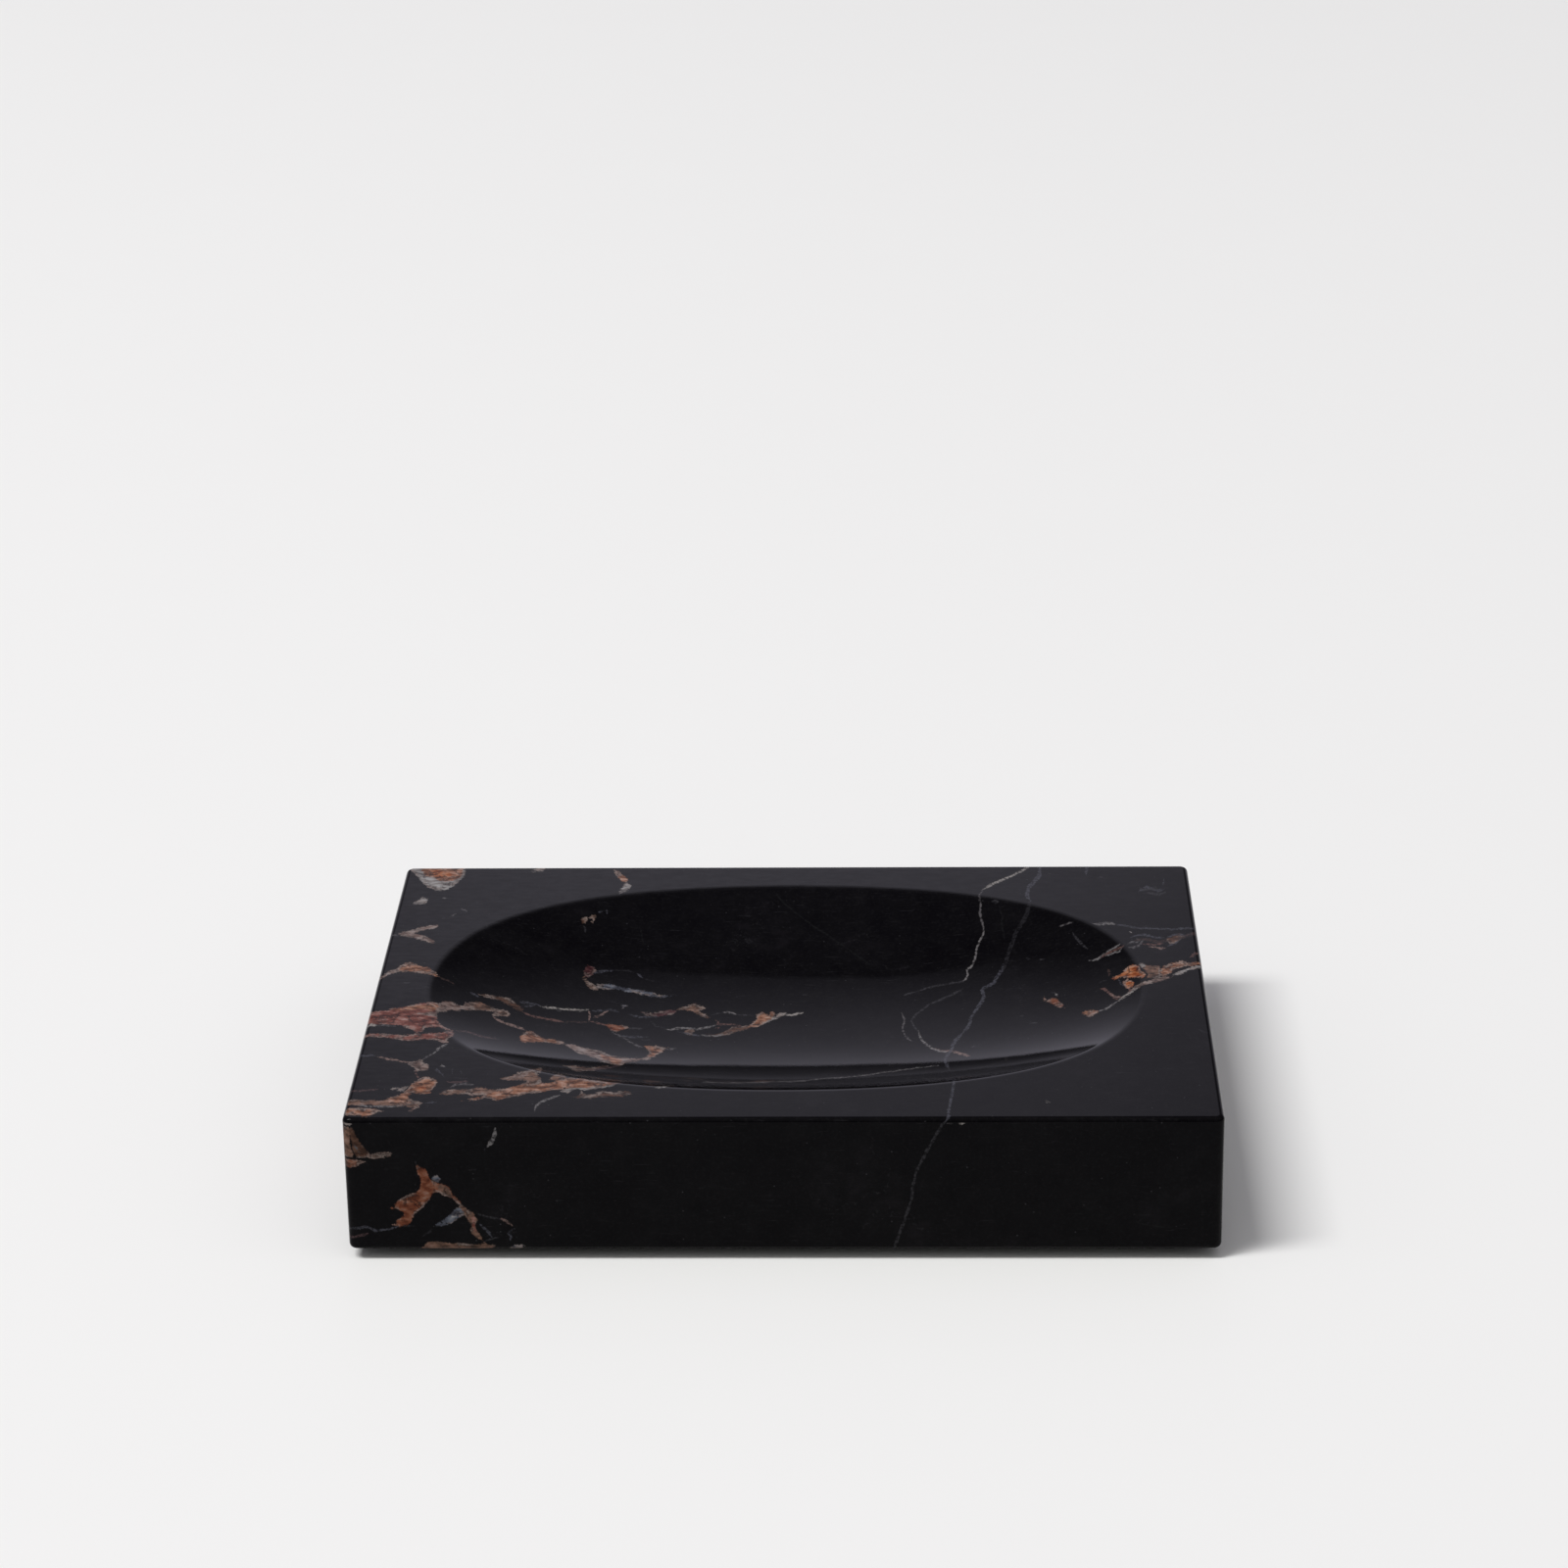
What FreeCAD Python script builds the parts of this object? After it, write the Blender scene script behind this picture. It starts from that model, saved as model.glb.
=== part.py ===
import FreeCAD
import Part
import Sketcher
import os

# Soap dish: one block of polished marble with a shallow oval bowl carved in its top.
# The block stands on four thin self-adhesive cushion feet, each a soft pad and its adhesive disc.
# Lengths are in millimetres. +X runs along the block, +Y from its front to its back, +Z is up.
# The origin is on the table, under the middle of the block.

Vector = FreeCAD.Vector

SIZES = [
    ("block_length", 140.0, "stone block, left to right"),
    ("block_width", 100.0, "stone block, front to back"),
    ("block_height", 23.5, "stone block alone, without the feet"),
    ("corner_radius", 1.4, "upright corners of the block, seen from above"),
    ("edge_radius", 0.8, "eased edges round the block's top and underside"),
    ("rim_margin", 9.7, "flat border between a centred bowl's rim and the block's edge"),
    ("rim_radius", 3.5, "eased edge along the bowl's rim"),
    ("bowl_shift_x", -0.7, "bowl's middle from the block's, to the right"),
    ("bowl_shift_y", 0.55, "bowl's middle from the block's, to the back"),
    ("rim_roundness_share", 1.19, "2 makes the rim an ellipse, less swells it towards the corners"),
    ("bowl_depth", 9.2, "bowl's deepest point below the flat border"),
    ("bowl_power", 2.15, "bowl's profile: 2 is a parabola, more has a flatter middle and steeper walls"),
    ("void_clearance", 3.0, "how far the bowl's void reaches past the rim, sideways and above"),
    ("foot_diameter", 10.0, "cushion foot"),
    ("foot_thickness", 1.6, "cushion foot without its adhesive"),
    ("foot_edge_radius", 0.5, "rounded lower edge of a cushion foot"),
    ("foot_inset", 14.0, "foot's middle, in from the block's sides"),
    ("adhesive_setback", 0.3, "how far an adhesive disc stays inside its foot's edge"),
    ("adhesive_thickness", 0.2, "adhesive disc between a foot and the stone"),
]

# How many points the bowl's surface passes through, along X and along Y.
BOWL_GRID = (41, 29)
# Two heights nearer than this count as one.
SAME_HEIGHT = 1e-4
# Each foot's corner of the block: left or right, and front or rear.
FOOT_PLACES = {
    "front_left": (-1, -1),
    "front_right": (1, -1),
    "rear_left": (-1, 1),
    "rear_right": (1, 1),
}

doc = FreeCAD.newDocument("SoapDish")


def make_sheet():
    """The driving dimensions, one row each: name, value and what it measures."""
    table = doc.addObject("Spreadsheet::Sheet", "Sizes")
    for row, (name, value, note) in enumerate(SIZES, start=1):
        table.set(f"A{row}", name)
        table.set(f"B{row}", str(value))
        table.set(f"C{row}", note)
        table.setAlias(f"B{row}", name)
    doc.recompute()
    return table


sheet = make_sheet()


def size(name):
    return float(sheet.get(name))


def new_body(label):
    body = doc.addObject("PartDesign::Body", label)
    body.Label = label
    return body


def flat_sketch(body, name):
    """An empty sketch on the body's own horizontal plane."""
    plane = next(item for item in body.Origin.OriginFeatures if item.Role == "XY_Plane")
    sketch = body.newObject("Sketcher::SketchObject", name)
    sketch.AttachmentSupport = (plane, "")
    sketch.MapMode = "FlatFace"
    return sketch


def bind(sketch, constraint, name, expression):
    """Adds a named constraint whose value follows the sheet."""
    sketch.renameConstraint(sketch.addConstraint(constraint), name)
    sketch.setExpression(f"Constraints.{name}", expression)


def pad(body, name, sketch, height):
    feature = body.newObject("PartDesign::Pad", name)
    feature.Profile = sketch
    feature.setExpression("Length", height)
    doc.recompute()
    return feature


def fillet(body, name, base, edges, radius):
    feature = body.newObject("PartDesign::Fillet", name)
    feature.Base = (base, edges)
    feature.setExpression("Radius", radius)
    doc.recompute()
    return feature


def chosen_edges(feature, keep):
    """The names of the feature's edges that a test picks."""
    edges = enumerate(feature.Shape.Edges, start=1)
    return [f"Edge{number}" for number, edge in edges if keep(edge)]


def lies_at(edge, height):
    """Whether the whole edge is level, at that height above its body's own plane."""
    box = edge.BoundBox
    return abs(box.ZMin - height) < SAME_HEIGHT and abs(box.ZMax - height) < SAME_HEIGHT


def bowl_height(across, along):
    """The bowl's height above the block's underside, at shares of its half length and half width."""
    outline = across**4 + along**4 + size("rim_roundness_share") * across**2 * along**2
    reach = outline ** (1 / 4)
    return size("block_height") - size("bowl_depth") * (1 - reach ** size("bowl_power"))


def make_bowl_void():
    """The space that the bowl takes out of the block: its curved floor, carried up past the top."""
    half_length = size("block_length") / 2 - size("rim_margin")
    half_width = size("block_width") / 2 - size("rim_margin")
    clearance = size("void_clearance")
    columns, rows = BOWL_GRID
    points = []
    for column in range(columns):
        x = (2 * column / (columns - 1) - 1) * (half_length + clearance)
        line = []
        for row in range(rows):
            y = (2 * row / (rows - 1) - 1) * (half_width + clearance)
            height = bowl_height(x / half_length, y / half_width)
            line.append(Vector(x + size("bowl_shift_x"), y + size("bowl_shift_y"), height))
        points.append(line)
    surface = Part.BSplineSurface()
    surface.interpolate(points)
    void = doc.addObject("Part::Feature", "bowl_void")
    void.Shape = surface.toShape().extrude(Vector(0, 0, size("bowl_depth") + clearance))
    return void


def make_stone_block():
    """The marble block: a padded rectangle with eased corners and edges, less the bowl."""
    body = new_body("stone_block")
    sketch = flat_sketch(body, "block_outline")
    x = size("block_length") / 2
    y = size("block_width") / 2
    corners = [Vector(-x, -y), Vector(x, -y), Vector(x, y), Vector(-x, y)]
    for start, end in zip(corners, corners[1:] + corners[:1]):
        sketch.addGeometry(Part.LineSegment(start, end))
    for side in range(len(corners)):
        sketch.addConstraint(Sketcher.Constraint("Coincident", side, 2, (side + 1) % len(corners), 1))
        sketch.addConstraint(Sketcher.Constraint("Vertical" if side % 2 else "Horizontal", side))
    sketch.addConstraint(Sketcher.Constraint("Symmetric", 0, 1, 2, 1, -1, 1))
    bind(sketch, Sketcher.Constraint("DistanceX", 0, 1, 0, 2, 2 * x), "length", "Sizes.block_length")
    bind(sketch, Sketcher.Constraint("DistanceY", 1, 1, 1, 2, 2 * y), "width", "Sizes.block_width")
    blank = pad(body, "block_blank", sketch, "Sizes.block_height")

    upright = chosen_edges(blank, lambda edge: edge.BoundBox.ZLength > edge.BoundBox.DiagonalLength / 2)
    fillet(body, "upright_corners", blank, upright, "Sizes.corner_radius")

    void_body = new_body("bowl_void_body")
    void_body.BaseFeature = make_bowl_void()
    doc.recompute()
    carved = body.newObject("PartDesign::Boolean", "bowl")
    carved.Type = "Cut"
    carved.setObjects([void_body])
    doc.recompute()

    top = size("block_height")
    drafted = (Part.Line, Part.Circle)
    rim = chosen_edges(carved, lambda edge: lies_at(edge, top) and not isinstance(edge.Curve, drafted))
    rimmed = fillet(body, "bowl_rim", carved, rim, "Sizes.rim_radius")
    level = chosen_edges(rimmed, lambda edge: lies_at(edge, top) or lies_at(edge, 0))
    outer = [name for name in level if isinstance(rimmed.Shape.getElement(name).Curve, drafted)]
    fillet(body, "block_edges", rimmed, outer, "Sizes.edge_radius")
    body.setExpression("Placement.Base.z", "Sizes.foot_thickness + Sizes.adhesive_thickness")
    return body


def place_under_corner(body, side, end, height):
    """Moves a foot's piece under one corner of the block."""
    body.setExpression("Placement.Base.x", f"{side} * (Sizes.block_length / 2 - Sizes.foot_inset)")
    body.setExpression("Placement.Base.y", f"{end} * (Sizes.block_width / 2 - Sizes.foot_inset)")
    body.setExpression("Placement.Base.z", height)


def disc(body, diameter, thickness):
    """A round blank on the body's own plane, drawn as large as a foot and then bound to its own sizes."""
    sketch = flat_sketch(body, f"{body.Label}_outline")
    drawn = size("foot_diameter")
    sketch.addGeometry(Part.Circle(Vector(0, 0), Vector(0, 0, 1), drawn / 2))
    sketch.addConstraint(Sketcher.Constraint("Coincident", 0, 3, -1, 1))
    bind(sketch, Sketcher.Constraint("Diameter", 0, drawn), "diameter", diameter)
    return pad(body, f"{body.Label}_blank", sketch, thickness)


def make_foot(place, side, end):
    """One cushion foot: a soft pad with a rounded lower edge."""
    body = new_body(f"foot_{place}")
    blank = disc(body, "Sizes.foot_diameter", "Sizes.foot_thickness")
    lower = chosen_edges(blank, lambda edge: lies_at(edge, 0))
    fillet(body, f"{body.Label}_edge", blank, lower, "Sizes.foot_edge_radius")
    place_under_corner(body, side, end, "0")
    return body


def make_adhesive(place, side, end):
    """The adhesive disc that holds one foot to the stone."""
    body = new_body(f"adhesive_{place}")
    disc(body, "Sizes.foot_diameter - 2 * Sizes.adhesive_setback", "Sizes.adhesive_thickness")
    place_under_corner(body, side, end, "Sizes.foot_thickness")
    return body


def check(pieces):
    """Stops before anything is written if a feature failed or a piece has no sound solid."""
    for item in doc.Objects:
        faults = {"Invalid", "Error"} & set(item.State)
        if faults:
            raise RuntimeError(f"{item.Label}: {faults}")
    for piece in pieces:
        if piece.Shape.isNull() or not piece.Shape.isValid() or len(piece.Shape.Solids) != 1:
            raise RuntimeError(f"{piece.Label}: not one sound solid")


pieces = [make_stone_block()]
for place, (side, end) in FOOT_PLACES.items():
    pieces.append(make_foot(place, side, end))
    pieces.append(make_adhesive(place, side, end))
doc.recompute()
check(pieces)

os.makedirs("parts", exist_ok=True)
for piece in pieces:
    box = piece.Shape.optimalBoundingBox()
    extents = " x ".join(f"{length:.3f}" for length in (box.XLength, box.YLength, box.ZLength))
    print(f"{piece.Label}: {extents} mm, {piece.Shape.Volume:.2f} mm3, from z = {box.ZMin:.3f}")
    piece.Shape.exportStep(f"parts/{piece.Label}.step")
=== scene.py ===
import math
from itertools import zip_longest

import bpy
import numpy as np
from mathutils import Matrix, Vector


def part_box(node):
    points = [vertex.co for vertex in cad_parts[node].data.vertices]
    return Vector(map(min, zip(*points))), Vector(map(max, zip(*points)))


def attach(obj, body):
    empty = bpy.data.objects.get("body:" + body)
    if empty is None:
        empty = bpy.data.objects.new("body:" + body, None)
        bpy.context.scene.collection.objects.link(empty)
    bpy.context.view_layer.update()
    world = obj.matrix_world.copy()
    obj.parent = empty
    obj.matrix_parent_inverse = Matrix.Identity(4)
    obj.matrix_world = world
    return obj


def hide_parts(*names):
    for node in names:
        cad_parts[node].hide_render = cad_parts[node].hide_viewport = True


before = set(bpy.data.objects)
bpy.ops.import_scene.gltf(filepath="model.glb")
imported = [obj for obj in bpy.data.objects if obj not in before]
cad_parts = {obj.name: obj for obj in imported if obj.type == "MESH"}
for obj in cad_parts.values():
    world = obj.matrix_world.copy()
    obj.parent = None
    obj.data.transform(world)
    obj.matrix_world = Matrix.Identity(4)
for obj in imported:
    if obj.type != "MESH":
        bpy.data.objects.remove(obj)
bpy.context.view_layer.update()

# Soap dish: a block of polished black marble with rust, gold and white veins and a shallow oval bowl.
# Lengths are in millimetres, and MM turns them into metres where the stone or the camera is made.
# Only the floor and the lamp are given in metres.
MM = 0.001

# The block's own sizes, which part.py has as named values too.
stone_low, stone_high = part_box("stone_block")
HALF_LENGTH = (stone_high.x - stone_low.x) / 2 / MM
HALF_WIDTH = (stone_high.y - stone_low.y) / 2 / MM
TOP = stone_high.z / MM
UNDERSIDE = stone_low.z / MM
CORNER_RADIUS = 1.4
EDGE_RADIUS = 0.8
RIM_MARGIN = 9.7
RIM_RADIUS = 3.5
BOWL_SHIFT = np.array([-0.7, 0.55])
RIM_ROUNDNESS_SHARE = 1.19
BOWL_DEPTH = 9.2
BOWL_POWER = 2.15
RIM_HALF_LENGTH = HALF_LENGTH - RIM_MARGIN
RIM_HALF_WIDTH = HALF_WIDTH - RIM_MARGIN

# The photograph's camera, worked out from the block's edges and rim.
PHOTO_PIXELS = 1600
FOCAL_PIXELS = 4425.283
SENSOR_WIDTH = 36.0
CAMERA_PLACE = np.array([19.966, -663.463, UNDERSIDE + 334.713])
CAMERA_PITCH = math.radians(22.4736)
CAMERA_YAW = math.radians(-1.7606)
CAMERA_ROLL = math.radians(0.8675)


def camera_axes():
    """The camera's right, down and forward directions."""
    forward = np.array([
        math.sin(CAMERA_YAW) * math.cos(CAMERA_PITCH),
        math.cos(CAMERA_YAW) * math.cos(CAMERA_PITCH),
        -math.sin(CAMERA_PITCH),
    ])
    level = np.array([math.cos(CAMERA_YAW), -math.sin(CAMERA_YAW), 0.0])
    below = np.cross(forward, level)
    right = level * math.cos(CAMERA_ROLL) + below * math.sin(CAMERA_ROLL)
    down = below * math.cos(CAMERA_ROLL) - level * math.sin(CAMERA_ROLL)
    return right, down, forward


def photo_pixels(points):
    """Where points, in millimetres, are in the photograph."""
    right, down, forward = camera_axes()
    seen = points - CAMERA_PLACE
    away = seen @ forward
    centre = PHOTO_PIXELS / 2
    across = centre + FOCAL_PIXELS * (seen @ right) / away
    along = centre + FOCAL_PIXELS * (seen @ down) / away
    return np.stack([across, along], axis=1)


def make_camera():
    right, down, forward = camera_axes()
    data = bpy.data.cameras.new("camera")
    data.sensor_width = SENSOR_WIDTH
    data.lens = FOCAL_PIXELS * SENSOR_WIDTH / PHOTO_PIXELS
    camera = bpy.data.objects.new("camera", data)
    turn = np.stack([right, -down, -forward], axis=1)
    camera.matrix_world = Matrix.Translation(CAMERA_PLACE * MM) @ Matrix(turn.tolist()).to_4x4()
    bpy.context.scene.collection.objects.link(camera)
    bpy.context.scene.camera = camera


# Veins, in the photograph's pixels.
# A patch has a tone and an outline.
TOP_PATCHES = {
    "back_blob_fringe": ("pale", [
        (418, 885), (422, 892), (428, 897), (432, 902), (438, 906), (446, 909), (453, 909), (459, 907),
        (464, 903), (470, 899), (474, 894), (477, 885),
    ]),
    "back_blob": ("gold", [
        (429, 884), (430, 892), (436, 895), (443, 896), (448, 899), (455, 900), (462, 899), (468, 897),
        (472, 893), (475, 884),
    ]),
    "back_blob_core": ("orange", [
        (437, 887), (447, 888), (459, 890), (464, 893), (458, 896), (451, 897), (441, 894),
    ]),
    "back_hook": ("gold", [
        (625, 884), (634, 891), (640, 895), (641, 900), (636, 902), (632, 897), (627, 891),
    ]),
    "back_hook_end": ("pale", [
        (636, 900), (643, 900), (645, 904), (641, 909), (635, 911), (630, 914), (632, 908), (637, 905),
    ]),
    "back_edge_bit": ("pale", [(540, 890), (545, 887), (557, 884), (557, 888), (549, 890)]),
    "back_ring": ("brown", [
        (600, 937), (604, 934), (609, 933), (608, 938), (605, 942), (601, 942), (604, 938),
    ]),
    "back_ring_side": ("umber", [(593, 937), (599, 936), (600, 939), (598, 943), (594, 942)]),
    "left_speck": ("pale", [
        (420, 922), (425, 919), (430, 916), (436, 915), (438, 919), (433, 923), (426, 924),
    ]),
    "chevron": ("cream", [
        (404, 953), (413, 950), (424, 947), (436, 945), (447, 943), (447, 946), (436, 949), (427, 951),
        (421, 952), (430, 954), (438, 957), (445, 960), (446, 963), (437, 962), (428, 959), (418, 956),
        (409, 955),
    ]),
    "left_arc_start": ("cream", [
        (386, 997), (394, 993), (404, 988), (410, 988), (408, 992), (400, 994), (386, 1000),
    ]),
    "left_arc": ("gold", [
        (402, 990), (407, 986), (413, 983), (418, 982), (425, 984), (433, 986), (439, 988), (445, 992),
        (450, 998), (444, 996), (437, 994), (428, 993), (418, 992), (408, 992),
    ]),
    "big_band": ("rust", [
        (376, 1032), (386, 1032), (398, 1030), (408, 1028), (420, 1025), (432, 1023), (448, 1022),
        (449, 1028), (445, 1034), (446, 1040), (450, 1045), (456, 1049), (464, 1052), (457, 1052),
        (449, 1049), (440, 1048), (433, 1049), (431, 1053), (427, 1055), (422, 1052), (414, 1049),
        (406, 1046), (394, 1046), (383, 1046), (374, 1044),
    ]),
    "big_band_top": ("gold", [
        (400, 1030), (410, 1028), (422, 1025), (434, 1024), (445, 1023), (450, 1026), (447, 1031),
        (441, 1032), (430, 1030), (418, 1031), (408, 1032),
    ]),
    "big_band_light": ("cream", [
        (422, 1034), (432, 1033), (441, 1032), (446, 1034), (446, 1038), (438, 1037), (429, 1036),
    ]),
    "big_band_head": ("cream", [
        (447, 1023), (455, 1021), (463, 1021), (466, 1025), (472, 1026), (475, 1023), (481, 1025),
        (486, 1028), (484, 1031), (470, 1031), (456, 1032), (449, 1033), (445, 1034), (447, 1029),
    ]),
    "big_band_end": ("brown", [
        (478, 1022), (490, 1023), (500, 1027), (510, 1030), (518, 1031), (521, 1034), (519, 1037),
        (510, 1037), (503, 1038), (501, 1035), (505, 1033), (498, 1032), (484, 1031),
    ]),
    "second_band": ("rust", [
        (370, 1055), (395, 1055), (410, 1056), (424, 1055), (440, 1054), (458, 1052), (465, 1053),
        (462, 1057), (458, 1060), (459, 1064), (452, 1064), (446, 1062), (438, 1061), (428, 1062),
        (416, 1062), (404, 1061), (390, 1059), (370, 1058),
    ]),
    "left_knot": ("cream", [
        (414, 1084), (424, 1082), (433, 1079), (432, 1084), (438, 1086), (439, 1091), (432, 1092),
        (427, 1093), (430, 1098), (427, 1100), (422, 1095), (422, 1090),
    ]),
    "left_ember": ("gold", [
        (414, 1112), (419, 1107), (424, 1104), (426, 1100), (433, 1098), (441, 1099), (446, 1103),
        (446, 1108), (441, 1113), (437, 1117), (430, 1116), (422, 1115), (415, 1115),
    ]),
    "left_ember_core": ("orange", [
        (419, 1111), (426, 1108), (434, 1108), (439, 1110), (435, 1114), (426, 1114),
    ]),
    "left_ember_tail": ("pale", [
        (388, 1111), (400, 1110), (410, 1109), (418, 1108), (416, 1112), (411, 1114), (402, 1113),
    ]),
    "corner_streak": ("brown", [
        (350, 1121), (365, 1122), (380, 1123), (391, 1122), (398, 1120), (406, 1117), (412, 1115),
        (418, 1114), (416, 1120), (424, 1124), (432, 1125), (431, 1127), (425, 1129), (424, 1133),
        (417, 1135), (420, 1131), (414, 1129), (400, 1129), (385, 1129), (370, 1128), (350, 1128),
    ]),
    "corner_glow": ("gold", [
        (390, 1124), (399, 1121), (406, 1118), (412, 1115), (418, 1115), (415, 1120), (414, 1124),
        (425, 1125), (422, 1128), (412, 1127), (400, 1126),
    ]),
    "corner_flake": ("gold", [
        (350, 1129), (360, 1131), (372, 1130), (382, 1131), (392, 1134), (384, 1136), (378, 1139),
        (370, 1140), (361, 1138), (350, 1138),
    ]),
    "rim_wing": ("brown", [
        (507, 1101), (517, 1099), (525, 1096), (532, 1093), (542, 1091), (554, 1089), (553, 1093),
        (548, 1096), (553, 1100), (557, 1102), (551, 1104), (556, 1106), (545, 1108), (532, 1108),
        (538, 1104), (534, 1102), (522, 1103),
    ]),
    "rim_wing_light": ("cream", [
        (512, 1101), (524, 1097), (533, 1093), (545, 1091), (540, 1095), (534, 1100), (522, 1102),
    ]),
    "rim_flag": ("brown", [
        (560, 1101), (565, 1097), (572, 1095), (577, 1097), (578, 1100), (570, 1102), (563, 1103),
    ]),
    "rim_sweep": ("gold", [
        (468, 1124), (480, 1121), (495, 1117), (505, 1114), (513, 1111), (522, 1109), (534, 1106),
        (546, 1107), (560, 1105), (570, 1102), (578, 1100), (590, 1100), (602, 1102), (614, 1103),
        (634, 1105), (622, 1108), (612, 1110), (598, 1111), (586, 1110), (576, 1111), (566, 1112),
        (550, 1115), (535, 1117), (520, 1120), (508, 1123), (496, 1121), (484, 1122), (472, 1124),
    ]),
    "rim_sweep_light": ("cream", [
        (488, 1120), (498, 1117), (510, 1114), (514, 1118), (508, 1122), (498, 1121),
    ]),
    "rim_sweep_end": ("pale", [
        (570, 1114), (580, 1110), (590, 1108), (600, 1107), (612, 1106), (634, 1104), (624, 1109),
        (612, 1111), (600, 1113), (588, 1111), (580, 1116),
    ]),
    "rim_tail": ("brown", [
        (447, 1117), (456, 1111), (466, 1112), (478, 1111), (488, 1108), (496, 1111), (514, 1111),
        (504, 1116), (488, 1118), (470, 1117),
    ]),
    "rim_olive": ("umber", [
        (578, 1120), (590, 1118), (594, 1112), (598, 1117), (606, 1116), (613, 1113), (624, 1114),
        (640, 1113), (646, 1116), (636, 1119), (612, 1120), (596, 1121),
    ]),
    "rim_mirror": ("umber", [
        (574, 1087), (586, 1087), (602, 1089), (622, 1086), (620, 1090), (606, 1092), (590, 1094),
    ]),
    "bowl_strand_body": ("umber", [
        (486, 1014), (500, 1015), (512, 1017), (521, 1019), (526, 1024), (532, 1027), (536, 1034),
        (530, 1033), (524, 1029), (516, 1025), (510, 1021), (498, 1018),
    ]),
    "bowl_knot": ("gold", [
        (530, 1056), (537, 1053), (543, 1051), (548, 1056), (556, 1059), (568, 1061), (578, 1065),
        (570, 1066), (560, 1064), (546, 1064), (532, 1064), (530, 1060),
    ]),
    "bowl_sweep": ("cream", [
        (574, 1064), (586, 1066), (596, 1069), (610, 1071), (618, 1075), (630, 1078), (642, 1079),
        (656, 1079), (664, 1075), (668, 1078), (660, 1082), (646, 1083), (638, 1085), (632, 1088),
        (622, 1086), (612, 1082), (600, 1078), (590, 1075), (582, 1070),
    ]),
    "bowl_sweep_light": ("pale", [
        (580, 1068), (592, 1071), (602, 1071), (610, 1076), (612, 1081), (600, 1078), (588, 1073),
    ]),
    "bowl_sweep_gold": ("gold", [
        (608, 1073), (616, 1076), (628, 1079), (636, 1081), (632, 1087), (622, 1084), (614, 1080),
    ]),
    "bowl_sweep_head": ("gold", [
        (655, 1067), (670, 1067), (684, 1069), (678, 1072), (672, 1076), (666, 1079), (660, 1079),
        (663, 1074), (660, 1070),
    ]),
    "bowl_wedge": ("copper", [
        (616, 1045), (626, 1045), (634, 1046), (642, 1048), (638, 1051), (629, 1053), (623, 1051),
    ]),
    "bowl_stroke": ("brown", [
        (689, 1031), (696, 1027), (703, 1026), (710, 1023), (716, 1027), (720, 1029), (714, 1032),
        (720, 1035), (727, 1039), (721, 1040), (713, 1036), (706, 1032), (698, 1030),
    ]),
    "bowl_red_stroke": ("wine", [
        (652, 1031), (658, 1033), (668, 1033), (678, 1031), (690, 1030), (690, 1034), (680, 1037),
        (670, 1038), (659, 1037),
    ]),
    "bowl_crest": ("umber", [
        (718, 1055), (730, 1055), (740, 1052), (748, 1047), (757, 1047), (764, 1046), (768, 1050),
        (754, 1053), (742, 1056), (728, 1058),
    ]),
    "bowl_crest_head": ("gold", [
        (762, 1049), (768, 1043), (772, 1040), (772, 1035), (778, 1033), (784, 1036), (789, 1031),
        (792, 1036), (786, 1041), (774, 1048),
    ]),
    "bowl_crest_shine": ("pale", [
        (764, 1049), (772, 1043), (780, 1038), (790, 1037), (798, 1033), (806, 1034), (796, 1038),
        (786, 1042), (774, 1048),
    ]),
    "bowl_net_patch": ("brown", [(696, 1053), (703, 1050), (709, 1050), (708, 1056), (702, 1056)]),
    "bowl_hook": ("wine", [
        (595, 990), (599, 985), (606, 985), (609, 990), (605, 994), (601, 998), (597, 997),
    ]),
    "bowl_hook_stem": ("brown", [
        (595, 992), (598, 997), (601, 1001), (607, 1004), (609, 1008), (616, 1016), (608, 1011),
        (602, 1009), (597, 1004), (594, 998),
    ]),
    "bowl_blue_streak": ("slate", [
        (608, 1003), (620, 1004), (632, 1006), (644, 1009), (660, 1011), (672, 1015), (692, 1016),
        (676, 1019), (664, 1017), (650, 1014), (634, 1011), (618, 1010), (609, 1008),
    ]),
    "bowl_small_hook": ("slate", [
        (628, 1022), (636, 1025), (641, 1026), (639, 1028), (634, 1030), (632, 1026),
    ]),
    "right_band": ("brown", [
        (1164, 985), (1174, 985), (1184, 985), (1186, 996), (1178, 999), (1168, 999), (1171, 994),
        (1167, 990),
    ]),
    "right_band_glow": ("gold", [
        (1183, 988), (1192, 984), (1200, 981), (1207, 980), (1213, 982), (1232, 981), (1232, 984),
        (1212, 986), (1203, 988), (1197, 990), (1193, 995), (1185, 997), (1183, 993),
    ]),
    "right_band_low": ("cream", [
        (1148, 1016), (1158, 1006), (1164, 1002), (1172, 1000), (1180, 997), (1190, 996), (1198, 996),
        (1188, 1000), (1176, 1003), (1166, 1006), (1158, 1010),
    ]),
    "right_band_light": ("pale", [
        (1193, 997), (1199, 993), (1206, 989), (1216, 986), (1232, 983), (1232, 985), (1214, 990),
        (1203, 995),
    ]),
    "right_flame": ("orange", [
        (1132, 999), (1138, 996), (1144, 993), (1148, 989), (1153, 985), (1159, 984), (1163, 986),
        (1164, 990), (1170, 994), (1167, 998), (1156, 998), (1146, 997), (1138, 999),
    ]),
    "right_flame_tip": ("pale", [(1162, 983), (1168, 984), (1169, 987), (1165, 988)]),
    "right_spark": ("orange", [
        (1145, 1002), (1150, 999), (1155, 1000), (1158, 1004), (1155, 1009), (1151, 1009), (1147, 1006),
    ]),
    "right_fleck": ("copper", [
        (1064, 1017), (1071, 1020), (1075, 1018), (1080, 1019), (1083, 1023), (1086, 1026), (1088, 1030),
        (1081, 1029), (1076, 1026), (1071, 1023), (1064, 1021),
    ]),
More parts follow.
